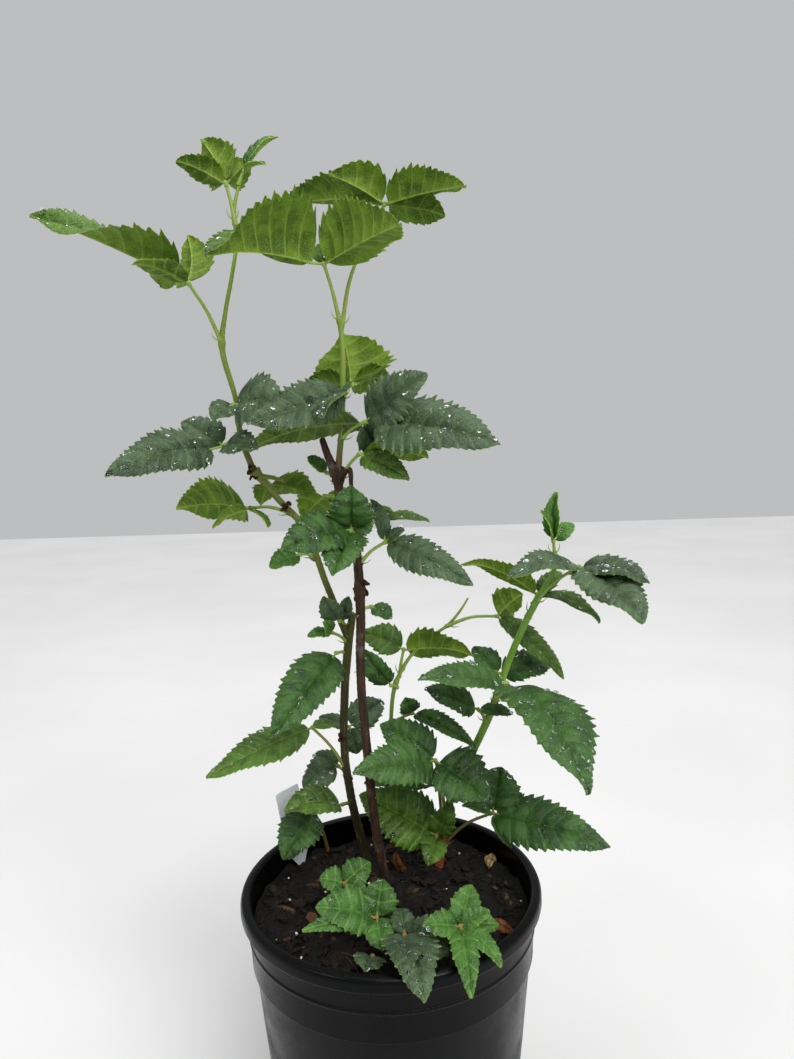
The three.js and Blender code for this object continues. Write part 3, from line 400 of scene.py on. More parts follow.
    ]),
    dict(name="front_leaf_2", look="youngLeaf", node=[-26, -13, 152], hub=[-25, -13, 171], leaflets=[
      dict(tip=[-38, -14, 175], width=14, face=[0, -0.5, 0.85]),
      dict(tip=[-11, -4, 178], width=15, face=[0, -0.6, 0.8]),
      dict(tip=[-12, -21, 170], width=8, face=[0, -0.6, 0.8]),
    ]),
    dict(name="front_leaf_3", look="blueLeaf", node=[8, -44, 152], hub=[7, -50, 165], leaflets=[
      dict(tip=[32, -58, 164], width=20, face=[0, -0.8, 0.6]),
      dict(tip=[7, -84, 169], width=20, face=[0, -0.1, 1], arch=0.12),
      dict(tip=[15, -93, 162], width=24, face=[0, -0.1, 1], arch=0.16),
      dict(tip=[5, -35, 170], width=11, face=[0, -0.7, 0.7]),
    ]),
    dict(name="front_leaf_4", look="blueLeaf", node=[-9, -52, 152], hub=[-9, -54, 157], leaflets=[
      dict(tip=[-12, -66, 158], width=15, face=[0, -0.3, 1]),
    ]),
    dict(name="front_leaf_5", look="youngLeaf", node=[27, -50, 152], hub=[34, -55, 172], leaflets=[
      dict(tip=[41, -42, 186], width=14, face=[0, -0.8, 0.5]),
      dict(tip=[49, -52, 178], width=9, face=[0, -0.6, 0.8], fold=30),
      dict(tip=[16, -64, 179], width=13, face=[0, -0.6, 0.8]),
      dict(tip=[54, -48, 168], width=11, face=[0, -0.5, 0.85]),
      dict(tip=[36, -90, 161], width=12, face=[0, -0.2, 1], arch=0.14),
      dict(tip=[52, -74, 164], width=10, face=[0.1, -0.2, 1], arch=0.14),
    ]),
  ],
}


# ---------- geometry ----------

def unit(a):
    """Directions of length one, for one vector or an array of them."""
    return a / np.maximum(np.linalg.norm(a, axis=-1, keepdims=True), 1e-9)


def along_part(a, b):
    """The part of a along the direction b."""
    return b * np.sum(a * b, axis=-1, keepdims=True)


class Surface:
    """Collects the points and faces of one piece, with the numbers that its materials read."""

    def __init__(self):
        self.points = []
        self.faces = []
        self.slots = []
        self.marks = {"rib_gap": [], "vein_gap": [], "tint": []}

    def add(self, points, faces, slot=0, rib_gap=9.0, vein_gap=9.0, tint=0.5):
        first = len(self.points)
        self.points.extend(map(tuple, np.asarray(points, float) * MM))
        self.faces.extend(tuple(first + i for i in face) for face in faces)
        self.slots.extend([slot] * len(faces) if np.isscalar(slot) else slot)
        for key, value in (("rib_gap", rib_gap), ("vein_gap", vein_gap), ("tint", tint)):
            values = np.broadcast_to(value, len(points)) if np.isscalar(value) else value
            self.marks[key].extend(float(v) for v in values)

    def build(self, name, materials, sharp=55):
        mesh = bpy.data.meshes.new(name)
        mesh.from_pydata(self.points, [], self.faces)
        for material in materials:
            mesh.materials.append(material)
        mesh.polygons.foreach_set("material_index", self.slots)
        for key, values in self.marks.items():
            mesh.attributes.new(key, "FLOAT", "POINT").data.foreach_set("value", values)
        mesh.shade_smooth()
        mesh.set_sharp_from_angle(angle=math.radians(sharp))
        mesh.update()
        piece = bpy.data.objects.new(name, mesh)
        bpy.context.scene.collection.objects.link(piece)
        return piece


def place(piece, slot, *nodes):
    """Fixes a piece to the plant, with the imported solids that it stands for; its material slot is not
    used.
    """
    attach(piece, "root")
    if nodes:
        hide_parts(*nodes)


def smooth_path(points, spacing):
    """Places along a smooth curve through the points, and each one's position in the list."""
    p = np.array(points, float)
    chord = np.linalg.norm(np.diff(p, axis=0), axis=1)
    knots = np.concatenate([[0], np.cumsum(chord)])
    slope = np.gradient(p, knots, axis=0)
    where = np.linspace(0, knots[-1], max(2, round(knots[-1] / spacing)) + 1)
    i = np.clip(np.searchsorted(knots, where, side="right") - 1, 0, len(chord) - 1)
    h = chord[i][:, None]
    u = ((where - knots[i]) / chord[i])[:, None]
    start = (1 + 2 * u) * (1 - u) ** 2 * p[i] + u * (1 - u) ** 2 * h * slope[i]
    end = u * u * (3 - 2 * u) * p[i + 1] + u * u * (u - 1) * h * slope[i + 1]
    return start + end, i + u[:, 0]


def tube(surface, points, radii, sides, spacing, slot=0, tint=0.5, knots=(), ribs=0.0, rough=0.0):
    """A round stem along the points, thicker at its knots, with lengthwise ribs and a rough skin."""
    centre, index = smooth_path(points, spacing)
    share = index / (len(points) - 1)
    radius = np.interp(share * (len(radii) - 1), range(len(radii)), radii)
    for x, y, z, knot in knots:
        gap = np.linalg.norm(centre - np.array([x, y, z]), axis=1)
        radius = radius + (knot - radius).clip(0) * np.exp(-(gap / (1.1 * knot)) ** 2)
    along = unit(np.gradient(centre, axis=0))
    across = np.array([1.0, 0.0, 0.0])
    angle = np.arange(sides) * 2 * math.pi / sides
    rings = []
    for i, direction in enumerate(along):
        across = unit(across - along_part(across, direction))
        other = np.cross(direction, across)
        wobble = 1 + ribs * np.cos(5 * angle + i * 0.02)
        wobble = wobble + rough * np.sin(3 * angle + i * 0.83) * np.sin(i * 0.61 + 2 * angle)
        wide = (radius[i] * wobble)[:, None]
        rings.append(centre[i] + wide * (np.cos(angle)[:, None] * across + np.sin(angle)[:, None] * other))
    last = len(rings) - 1
    cap_start = centre[0] - along[0] * radius[0] * 0.4
    cap_end = centre[-1] + along[-1] * radius[-1] * 0.6
    faces = []
    for i in range(last):
        for j in range(sides):
            a, b = i * sides + j, i * sides + (j + 1) % sides
            faces.append((a, b, b + sides, a + sides))
    low, high = (last + 1) * sides, (last + 1) * sides + 1
    for j in range(sides):
        k = (j + 1) % sides
        faces.append((low, k, j))
        faces.append((high, last * sides + j, last * sides + k))
    surface.add(np.concatenate([*rings, [cap_start], [cap_end]]), faces, slot, tint=tint)
    return centre, along, radius


def thorn(surface, base, outward, down, size, slot, tint):
    """A small hooked prickle: a cone that bends back along the stem."""
    outward, down = unit(outward), unit(down)
    middle = base + outward * size * 0.55 + down * size * 0.12
    tip = base + outward * size + down * size * 0.55
    widths = [size * 0.3, size * 0.17, 0.03]
    tube(surface, [base - outward * 0.3, middle, tip], widths, 6, size / 3, slot, tint)


def leaflet(surface, base, spec, slots, dice, curl=0.0):
    """
    One toothed leaflet from its base to its tip: a thin closed blade with sunken side veins,
    raised between them. slots are the materials of its upper side and its underside.
    Returns places on its upper side, for drops of water.
    """
    start = np.array(base, float)
    span = np.array(spec["tip"], float) - start
    length = np.linalg.norm(span)
    axis = span / length
    face = np.array(spec.get("face", (0, 0, 1)), float)
    face = unit(face - along_part(face, axis))
    half_width = spec["width"] / 2
    arch = 4 * spec.get("arch", LEAF_ARCH) * length
    fold = math.radians(spec.get("fold", LEAF_FOLD))
    twist = math.radians(spec.get("twist", 0))
    veins = int(np.clip(round(length / 6.5), 3, 8))
    rows = veins * ROWS_PER_VEIN
    columns = int(np.clip(round(half_width / 1.8), 3, 8))

    row = np.arange(rows + 1)
    root = (row / rows)[:, None]
    out = np.linspace(-1, 1, 2 * columns + 1)[None, :]
    reach = np.abs(out)
    tooth = TEETH[row % ROWS_PER_VEIN][:, None] * reach ** 7
    uneven = np.array([[dice.uniform(0.6, 1.3)] for _ in row])
    tooth = tooth * uneven
    t = root + VEIN_SLANT * root * (1 - root) * reach + TOOTH_LEAN * tooth * (1 - root)
    t = np.clip(t, 0, 1)
    tip_power = np.interp(length, [18, 60], [TIP_POWER_SHORT, TIP_POWER_LONG])
    widest = BASE_POWER / (BASE_POWER + tip_power)
    outline = (t + 0.0015) ** BASE_POWER * (1.003 - t) ** tip_power
    half = half_width * outline / (widest ** BASE_POWER * (1 - widest) ** tip_power)
    x = out * (half * (0.95 + TOOTH_DEPTH * tooth) + 0.25)

    centre = start + span * t[..., None] + face * (arch * t * (1 - t))[..., None]
    along = unit(span + face * (arch * (1 - 2 * t))[..., None])
    flat = unit(face - along_part(face, along))
    turn = (twist * t)[..., None]
    normal = flat * np.cos(turn) + np.cross(along, flat) * np.sin(turn)
    side = np.cross(along, normal)

    phase = dice.uniform(0, 6)
    between = np.sin(math.pi * root * veins) ** 2
    quilt = QUILT_DEPTH * half_width * between * np.sin(math.pi * reach ** 0.8) * (half / half_width)
    crown = 0.34 * half * reach * (1 - reach)
    sag = -(0.12 + curl) * half * reach ** 3
    wave = 0.07 * half_width * reach ** 2 * np.sin(11 * root + phase + 1.3 * (out > 0))
    groove = -0.35 * np.exp(-(x / 0.7) ** 2)
    bend = -0.05 * length * np.clip(t - 0.72, 0, 1) * (1 + 6 * curl)
    rise = crown + quilt + sag + wave + groove + bend
    open_up = np.sign(out)[..., None] * side * math.sin(fold)
    skin = normal * math.cos(fold) - open_up
    blade = centre + side * (x * math.cos(fold))[..., None]
    blade = blade + normal * (np.abs(x) * math.sin(fold))[..., None] + skin * rise[..., None]

    spacing = length / veins
    vein_gap = np.abs((root * veins + 0.5) % 1 - 0.5) * spacing * 0.8 + 0 * x
    vein_gap = np.where((root < 0.02) | (root > 0.93), 3.0, vein_gap)
    rib_gap = np.abs(x) + 0.25 * t
    rib = 0.5 * np.exp(-(x / 0.55) ** 2) * (1 - 0.7 * t) + 0.16 * np.exp(-(vein_gap / 0.4) ** 2)
    upper = blade + skin * (BLADE_THICKNESS / 2)
    under = blade - skin * (BLADE_THICKNESS / 2 + rib)[..., None]

    wide = 2 * columns + 1
    grid = [(i * wide + j, i * wide + j + 1, (i + 1) * wide + j + 1, (i + 1) * wide + j)
            for i in range(rows) for j in range(2 * columns)]
    count = (rows + 1) * wide
    rim = [*range(wide), *((i + 1) * wide - 1 for i in range(1, rows + 1)),
           *(rows * wide + j for j in range(wide - 2, -1, -1)), *(i * wide for i in range(rows - 1, 0, -1))]
    faces = list(grid)
    faces += [tuple(count + k for k in reversed(face)) for face in grid]
    faces += [(a + count, b + count, b, a) for a, b in zip(rim, rim[1:] + rim[:1])]
    face_slots = [slots[0]] * len(grid) + [slots[1]] * (len(grid) + len(rim))
    tint = dice.uniform(0.25, 0.75) + 0.15 * np.tile(t.ravel(), 2)
    surface.add(np.concatenate([upper.reshape(-1, 3), under.reshape(-1, 3)]), faces, face_slots,
                np.tile(rib_gap.ravel(), 2), np.tile(vein_gap.ravel(), 2), tint)

    spots = []
    for _ in range(int(DROPS_PER_AREA * length * half_width)):
        i, j = dice.randrange(3, rows - 2), dice.randrange(1, 2 * columns)
        direction = unit(np.cross(blade[i, j + 1] - blade[i, j - 1], blade[i + 1, j] - blade[i - 1, j]))
        mix = dice.random()
        spot = upper[i, j] * (1 - mix) + upper[i + 1, j] * mix
        spots.append((spot, direction, dice.random()))
    return spots


# ---------- materials ----------

class Graph:
    """A material's nodes, joined up from its Principled shader backwards."""

    def __init__(self, name, **constants):
        self.material = bpy.data.materials.new(name)
        self.material.use_nodes = True
        self.nodes = self.material.node_tree.nodes
        self.links = self.material.node_tree.links
        self.shader = self.nodes["Principled BSDF"]
        for key, value in constants.items():
            self.shader.inputs[key.replace("_", " ")].default_value = value
        self.place = self.nodes.new("ShaderNodeTexCoord").outputs["Object"]

    def join(self, value, socket):
        if isinstance(value, bpy.types.NodeSocket):
            self.links.new(value, socket)
        elif isinstance(value, tuple) and len(value) == 3:
            socket.default_value = (*value, 1)
        else:
            socket.default_value = value

    def stretched(self, scale):
        node = self.nodes.new("ShaderNodeMapping")
        self.links.new(self.place, node.inputs["Vector"])
        node.inputs["Scale"].default_value = scale
        return node.outputs["Vector"]

    def noise(self, scale, detail=4, place=None, roughness=0.55):
        node = self.nodes.new("ShaderNodeTexNoise")
        self.links.new(place or self.place, node.inputs["Vector"])
        node.inputs["Scale"].default_value = scale
        node.inputs["Detail"].default_value = detail
        node.inputs["Roughness"].default_value = roughness
        return node.outputs["Fac"]

    def cells(self, scale, feature="DISTANCE_TO_EDGE", place=None):
        node = self.nodes.new("ShaderNodeTexVoronoi")
        node.feature = feature
        self.links.new(place or self.place, node.inputs["Vector"])
        node.inputs["Scale"].default_value = scale
        return node.outputs["Distance"]

    def mark(self, name):
        node = self.nodes.new("ShaderNodeAttribute")
        node.attribute_name = name
        return node.outputs["Fac"]

    def height(self):
        node = self.nodes.new("ShaderNodeSeparateXYZ")
        self.links.new(self.place, node.inputs[0])
        return node.outputs["Z"]

    def spread(self, value, low, high, to_low=0.0, to_high=1.0):
        """A value between two limits, eased, as a share from to_low to to_high."""
        node = self.nodes.new("ShaderNodeMapRange")
        node.interpolation_type = "SMOOTHSTEP"
        self.join(value, node.inputs["Value"])
        for key, number in zip(("From Min", "From Max", "To Min", "To Max"), (low, high, to_low, to_high)):
            node.inputs[key].default_value = number
        return node.outputs["Result"]

    def mix(self, share, first, second, blend="MIX"):
        node = self.nodes.new("ShaderNodeMix")
        node.data_type = "RGBA"
        node.blend_type = blend
        self.join(share, node.inputs[0])
        self.join(first, node.inputs[6])
        self.join(second, node.inputs[7])
        return node.outputs[2]

    def sum(self, first, second, operation="ADD"):
        node = self.nodes.new("ShaderNodeMath")
        node.operation = operation
        self.join(first, node.inputs[0])
        self.join(second, node.inputs[1])
        return node.outputs[0]

    def bump(self, height, distance, strength=1.0):
        node = self.nodes.new("ShaderNodeBump")
        node.inputs["Distance"].default_value = distance
        node.inputs["Strength"].default_value = strength
        self.join(height, node.inputs["Height"])
        self.join(node.outputs["Normal"], self.shader.inputs["Normal"])

    def finish(self, colour, roughness):
        self.join(colour, self.shader.inputs["Base Color"])
        self.join(roughness, self.shader.inputs["Roughness"])
        return self.material


def shade(code):
    """A colour written as six hexadecimal digits, as the linear numbers that Blender uses."""
    parts = [int(code[i:i + 2], 16) / 255 for i in (0, 2, 4)]
    return tuple(c / 12.92 if c < 0.04045 else ((c + 0.055) / 1.055) ** 2.4 for c in parts)


def blade_material(name, deep, light, vein, roughness, vein_share, sheen=0.0):
    """A leaf's skin: mottled, with pale veins and a fine net between them."""
    g = Graph(name, Subsurface_Weight=0.25, Subsurface_Radius=(0.6, 1.0, 0.25), Subsurface_Scale=0.0012,
              Sheen_Weight=sheen, Sheen_Roughness=0.4, Specular_IOR_Level=0.42)
    patches = g.noise(90, 5)
    net = g.cells(750)
    mottle = g.sum(g.spread(patches, 0.38, 0.64), g.mark("tint"), "ADD")
    colour = g.mix(g.spread(mottle, 0.3, 1.45), shade(deep), shade(light))
    fine = g.spread(net, 0.02, 0.14, 0.3, 0.0)
    side_vein = g.spread(g.mark("vein_gap"), 0.12, 0.6, vein_share, 0.0)
    midrib = g.spread(g.mark("rib_gap"), 0.35, 0.95, min(1.0, vein_share * 1.5), 0.0)
    colour = g.mix(fine, colour, shade(vein))
    colour = g.mix(side_vein, colour, shade(vein))
    colour = g.mix(midrib, colour, shade(vein))
    spots = g.spread(g.noise(260, 2), 0.72, 0.78)
    colour = g.mix(g.sum(spots, 0.25, "MULTIPLY"), colour, shade("6b5a2a"))
    rough = g.spread(g.noise(400, 3), 0.3, 0.7, roughness - 0.1, roughness + 0.12)
    puckers = g.sum(g.cells(330, "F1"), 0.9, "MULTIPLY")
    g.bump(g.sum(g.sum(net, g.noise(1500, 2), "ADD"), puckers, "ADD"), 0.0004, 0.9)
    return g.finish(colour, rough)


def stem_material(name, base, middle, top, low, high, streak, roughness):
    """A green stem that changes colour with height in three stages, with lengthwise streaks."""
    g = Graph(name, Subsurface_Weight=0.1, Subsurface_Radius=(0.8, 1.0, 0.3), Subsurface_Scale=0.001,
              Specular_IOR_Level=0.45)
    height = g.sum(g.height(), g.sum(g.noise(70, 3), 0.03, "MULTIPLY"), "ADD")
    lower = g.mix(g.spread(height, low, (low + high) / 2), shade(base), shade(middle))
    colour = g.mix(g.spread(height, (low + high) / 2, high), lower, shade(top))
    lines = g.noise(900, 3, g.stretched((1, 1, 0.08)))
    colour = g.mix(g.spread(lines, 0.5, 0.72, 0.0, 0.55), colour, shade(streak))
    g.bump(lines, 0.0003, 0.6)
    return g.finish(colour, g.spread(lines, 0.3, 0.7, roughness - 0.08, roughness + 0.15))


def bark_material(name, deep, light, streak):
    """Thin woody bark with grey streaks, pores and cracks."""
    g = Graph(name, Specular_IOR_Level=0.35)
    long_noise = g.noise(520, 5, g.stretched((1, 1, 0.12)), 0.65)
    patches = g.noise(120, 4)
    colour = g.mix(g.spread(long_noise, 0.35, 0.65), shade(deep), shade(light))
    colour = g.mix(g.spread(patches, 0.52, 0.72, 0.0, 0.75), colour, shade(streak))
    pores = g.spread(g.cells(500, "F1"), 0.1, 0.3, 0.6, 0.0)
    colour = g.mix(pores, colour, shade("1b140c"))
    g.bump(g.sum(long_noise, g.noise(1600, 3), "ADD"), 0.0005, 0.8)
    return g.finish(colour, g.spread(long_noise, 0.3, 0.7, 0.6, 0.85))


def dry_material(name, deep, light, vein):
    """Dead leaf: papery, blotched, with darker veins."""
    g = Graph(name, Specular_IOR_Level=0.25)
    patches = g.noise(220, 5, roughness=0.7)
    colour = g.mix(g.spread(patches, 0.35, 0.65), shade(deep), shade(light))
    colour = g.mix(g.spread(g.mark("vein_gap"), 0.1, 0.5, 0.6, 0.0), colour, shade(vein))
    colour = g.mix(g.spread(g.mark("rib_gap"), 0.3, 0.8, 0.8, 0.0), colour, shade(vein))
    g.bump(g.noise(900, 4), 0.0004, 0.8)
    return g.finish(colour, g.spread(patches, 0.3, 0.7, 0.75, 0.95))


def pot_material():
    """Moulded black plastic, satin, with dried dust and water marks."""
    g = Graph("black_pot_plastic", Specular_IOR_Level=0.2)
    film = g.noise(45, 6, roughness=0.65)
    specks = g.spread(g.cells(650, "F1"), 0.03, 0.09, 1.0, 0.0)
    sparse = g.spread(g.noise(160, 3), 0.5, 0.66)
    dust = g.sum(specks, sparse, "MULTIPLY")
    colour = g.mix(g.spread(film, 0.45, 0.8), shade("050606"), shade("121110"))
    colour = g.mix(g.sum(dust, 0.5, "MULTIPLY"), colour, shade("8c8479"))
    rough = g.sum(g.spread(film, 0.35, 0.7, 0.2, 0.42), g.sum(dust, 0.3, "MULTIPLY"), "ADD")
    g.bump(g.sum(g.noise(1400, 2), dust, "ADD"), 0.00012, 0.6)
    return g.finish(colour, rough)


def soil_material(name, deep, light, pale_share):
    """Damp potting mix, dark with paler fibres and grains; the tint mark lightens a piece."""
    g = Graph(name, Specular_IOR_Level=0.45)
    grain = g.noise(650, 6, roughness=0.7)
    colour = g.mix(g.spread(grain, 0.35, 0.7), shade(deep), shade(light))
    fibres = g.spread(g.noise(1500, 3), 0.62, 0.72, 0.0, pale_share)
    colour = g.mix(fibres, colour, shade("8a7a63"))
    colour = g.mix(g.spread(g.mark("tint"), 0.55, 1.0, 0.0, 0.8), colour, shade("6f5334"))
    g.bump(g.sum(grain, g.noise(2200, 3), "ADD"), 0.0009, 1.0)
    return g.finish(colour, g.spread(grain, 0.3, 0.7, 0.45, 0.95))


def pale_material(name, colour, dirt, roughness):
    """Perlite, label plastic or another pale skin with faint dirt."""
    g = Graph(name, Specular_IOR_Level=0.4)
    smudge = g.noise(140, 5, roughness=0.7)
    mixed = g.mix(g.spread(smudge, 0.5, 0.8), shade(colour), shade(dirt))
    g.bump(g.noise(1200, 3), 0.0002, 0.5)
    return g.finish(mixed, g.spread(smudge, 0.3, 0.7, roughness - 0.08, roughness + 0.1))


def water_material():
    g = Graph("water", Transmission_Weight=1.0, IOR=1.33, Specular_IOR_Level=0.5)
    ripple = g.noise(500, 2)
    g.bump(ripple, 0.00005, 0.3)
    return g.finish((0.96, 0.98, 1.0), g.spread(ripple, 0.3, 0.7, 0.0, 0.04))


UPPER = {
    "darkLeaf": blade_material("dark_leaf_upper", "1e3a15", "3b5d27", "5c7d42", 0.45, 0.3),
    "freshLeaf": blade_material("fresh_leaf_upper", "284613", "48681e", "7c9246", 0.47, 0.3),
    "youngLeaf": blade_material("young_leaf_upper", "27491b", "42692b", "73964c", 0.5, 0.35),
    "blueLeaf": blade_material("blue_leaf_upper", "26381f", "44583b", "6c8160", 0.45, 0.25, 0.03),
}
UNDER = {
    "darkLeaf": blade_material("dark_leaf_under", "36502a", "56703a", "84995c", 0.6, 0.4, 0.04),
    "freshLeaf": blade_material("fresh_leaf_under", "456113", "688221", "95a84a", 0.58, 0.38, 0.04),
    "youngLeaf": blade_material("young_leaf_under", "5a7c26", "82a03e", "aabf6c", 0.58, 0.4, 0.04),
    "blueLeaf": blade_material("blue_leaf_under", "425c24", "667d34", "94a660", 0.6, 0.4, 0.04),
}
PETIOLE = stem_material("petiole_skin", "7c5a3c", "7c8844", "8aa552", 0.15, 0.3, "9a6a4a", 0.5)
WOOD = {
    "left_cane": stem_material("olive_bark", "37331a", "4b4a20", "66702f", 0.27, 0.36, "6f6a48", 0.6),
    "right_cane": bark_material("red_brown_bark", "241810", "483324", "655c50"),
}
GREEN = {
    "left_shoot": stem_material("left_shoot_skin", "5b5a2b", "6e7f33", "7f9a3e", 0.4, 0.5,
                                "8f8a4e", 0.45),
    "right_shoot": stem_material("right_shoot_skin", "54432a", "627033", "76913c", 0.4, 0.46,
                                 "87804a", 0.45),
    "young_cane": stem_material("young_cane_skin", "8a4038", "765a2c", "6c9138", 0.165, 0.235,
                                "8ea554", 0.38),
    "back_shoot": stem_material("back_shoot_skin", "65502f", "6a6f34", "7f9648", 0.18, 0.28,
                                "8d8450", 0.5),
}
BEIGE = dry_material("beige_dead_leaf", "8a744a", "bda577", "6f5a38")
BROWN = dry_material("brown_dead_leaf", "4b2d19", "7c5231", "3a2314")
DRY_BITS = dry_material("dry_bracts", "2e1d12", "6a4a30", "25160d")


# ---------- stems ----------

# Dry bracts and buds on the woody stems: the middle of each bunch, how many, and how far they reach.
BRACTS = {
    "right_cane": [([-12, 8, 327], 10, 6.5), ([-21, 5, 390], 5, 5)],
    "left_cane": [([-67, 17, 393], 6, 5), ([-27, 38, 233], 5, 3.6), ([-51, 17, 372], 4, 3.4)],
}


def stem_piece(name, look):
    """One stem with its knots, prickles and the scars and bracts where leaves join it."""
    dice = random.Random("stem " + name)
    surface = Surface()
    spec = STEMS[name]
    woody = name in WOOD
    for run in spec["runs"]:
        thick = max(run["radii"])
        centre, along, radius = tube(
            surface, run["points"], run["radii"], 20, 0.9, knots=spec["knots"],
            ribs=0.05 if thick > 1.2 else 0.0, rough=0.06 if woody else 0.025)
        gap = 9 if woody else 6
        for i in range(10, len(centre) - 6, gap):
            if centre[i][2] < SOIL_LEVEL + 4 or dice.random() < 0.35:
                continue
            angle = dice.uniform(0, 2 * math.pi)
            out = unit(np.cross(along[i], [math.cos(angle), math.sin(angle), 0.2]))
            size = dice.uniform(1.0, 1.9) if woody else dice.uniform(0.6, 1.2)
            thorn(surface, centre[i] + out * radius[i] * 0.9, out, -along[i], size, 1, 0.5)
    for leaf in LEAVES.get(name, []):
        node = np.array(leaf["node"], float)
        towards = unit(np.array(leaf["hub"], float) - node)
        swell = 1.9 if name in ("left_cane", "right_cane", "young_cane") else 1.25
        tube(surface, [node - towards * 1.0, node + towards * 2.2], [swell * 1.15, swell * 0.8], 12, 0.8)
    for middle, count, reach in BRACTS.get(name, []):
        for _ in range(count):
            angle = dice.uniform(0, 2 * math.pi)
            start = np.array(middle) + np.array([0, 0, dice.uniform(-0.6, 0.8) * reach])
            out = np.array([math.cos(angle), math.sin(angle), dice.uniform(-0.9, 0.5)])
            tip = start + unit(out) * dice.uniform(0.6, 1.0) * reach
            bract = dict(tip=list(tip), width=dice.uniform(2, 3.4), face=[0, -0.5, 0.8], fold=35, arch=0.15)
            leaflet(surface, start, bract, (2, 2), dice, curl=0.3)
    piece = surface.build(name + "_fine", [look, GREEN["back_shoot"] if woody else PETIOLE, DRY_BITS])
    place(piece, "woody_bark" if woody else "green_stem", name)


# ---------- leaves ----------

drops = []


def leaf_piece(spec, stem):
    """A compound leaf: its petiole with prickles and two stipules, its stalks and its leaflets."""
    dice = random.Random("leaf " + spec["name"])
    surface = Surface()
    node, hub = np.array(spec["node"], float), np.array(spec["hub"], float)
    length = np.linalg.norm(hub - node)
    bend = (node + hub) / 2 + np.array([0, 0, 0.08 * length])
    route = [node, *spec.get("via", [bend]), hub]
    radii = [PETIOLE_RADIUS * 1.25, PETIOLE_RADIUS * 0.9, PETIOLE_RADIUS * 0.85]
    centre, along, radius = tube(surface, route, radii, 12, 0.8, slot=2, ribs=0.04)
    for i in range(6, len(centre) - 3, 7):
        angle = dice.uniform(0, 2 * math.pi)
        out = unit(np.cross(along[i], [math.cos(angle), math.sin(angle), 0.1]))
        thorn(surface, centre[i] + out * radius[i] * 0.85, out, -along[i], dice.uniform(0.5, 0.9), 2, 0.5)
    if length > 9 and stem != "soil":
        across = unit(np.cross(along[0], [0, 1, 0.3]))
        for turn in (-1, 1):
            base = centre[2] + across * turn * 0.8
            middle = base + along[0] * 2.5 + across * turn * 1.8
            tip = base + along[0] * 5.5 + across * turn * 2.2
            tube(surface, [base, middle, tip], [0.4, 0.3, 0.08], 6, 0.7, slot=2)
    tube(surface, [hub - along[-1] * 1.2, hub + along[-1] * 0.8], [1.15, 1.2], 10, 0.6, slot=2)
    for blade in spec["leaflets"]:
        towards = unit(np.array(blade["tip"], float) - hub)
        stalk = max(blade.get("stalk", 0), min(2.4, 0.07 * np.linalg.norm(np.array(blade["tip"]) - hub)))
        base = hub + towards * stalk
        tube(surface, [hub, base + towards * 1.5], [STALK_RADIUS, STALK_RADIUS * 0.9], 10, 0.8, slot=2)
        drops.extend((spec["look"], *spot) for spot in leaflet(surface, base, blade, (0, 1), dice))
    look = spec["look"]
    piece = surface.build(spec["name"] + "_fine", [UPPER[look], UNDER[look], PETIOLE])
    place(piece, "leaf", spec["name"])


def water_drops():
    """Beads of water on the upper sides that look up or out, more of them on the bloomy leaves."""
    dice = random.Random("drops")
    surface = Surface()
    chance = {"blueLeaf": 0.8, "darkLeaf": 0.75, "freshLeaf": 0.35, "youngLeaf": 0.2}
    rings, sides = 4, 12
    for look, spot, direction, luck in drops:
        if dice.random() > chance[look] or direction @ np.array([0, -0.55, 0.8]) < 0.3:
            continue
        size = DROP_SIZE + DROP_GAIN * luck ** 2
        across = unit(np.cross(direction, [0.3, 0.9, 0.1]))
        other = np.cross(direction, across)
        points, faces = [], []
        for i in range(rings):
            lean = math.pi / 2 * i / rings
            reach, up = size * math.cos(lean), size * (DROP_RISE * math.sin(lean))
            for j in range(sides):
                angle = 2 * math.pi * j / sides
                flat = across * math.cos(angle) + other * math.sin(angle)
                points.append(spot + flat * reach + direction * (up + 0.04))
        points += [spot + direction * size * DROP_RISE, spot - direction * 0.05]
        top, foot = rings * sides, rings * sides + 1
        for j in range(sides):
            k = (j + 1) % sides
            faces += [(i * sides + j, i * sides + k, (i + 1) * sides + k, (i + 1) * sides + j)
                      for i in range(rings - 1)]
            faces.append(((rings - 1) * sides + j, (rings - 1) * sides + k, top))
            faces.append((foot, k, j))
        surface.add(points, faces)
    piece = surface.build("water_drops", [water_material()])
    place(piece, "leaf")


# ---------- pot ----------

def turned(surface, profile, sides, slot=0):
    """A closed turned body from a profile whose two ends are on the axis."""
    inner = profile[1:-1]
    rings = [[(r * math.cos(a), r * math.sin(a), z) for a in np.arange(sides) * 2 * math.pi / sides]
             for r, z in inner]
    faces = []
    for i in range(len(inner) - 1):
        for j in range(sides):
            a, b = i * sides + j, i * sides + (j + 1) % sides
            faces.append((a, b, b + sides, a + sides))
    first, last = len(inner) * sides, len(inner) * sides + 1
    end = (len(inner) - 1) * sides
    for j in range(sides):
        k = (j + 1) % sides
        faces.append((first, k, j))
        faces.append((last, end + j, end + k))
    points = [p for ring in rings for p in ring]
    points += [(0, 0, profile[0][1]), (0, 0, profile[-1][1])]
    surface.add(points, faces, slot)


def rounded(points, radius, steps=4):
    """A profile with each corner between its ends rounded off."""
    path = [points[0]]
    for before, corner, after in zip(points, points[1:], points[2:]):
        c, b, a = Vector(corner), Vector(before), Vector(after)
        cut = min(radius, (b - c).length * 0.45, (a - c).length * 0.45)
        start, end = c + (b - c).normalized() * cut, c + (a - c).normalized() * cut
        for i in range(steps + 1):
            t = i / steps
            path.append(tuple((1 - t) ** 2 * start + 2 * t * (1 - t) * c + t * t * end))
    return [*path, points[-1]]


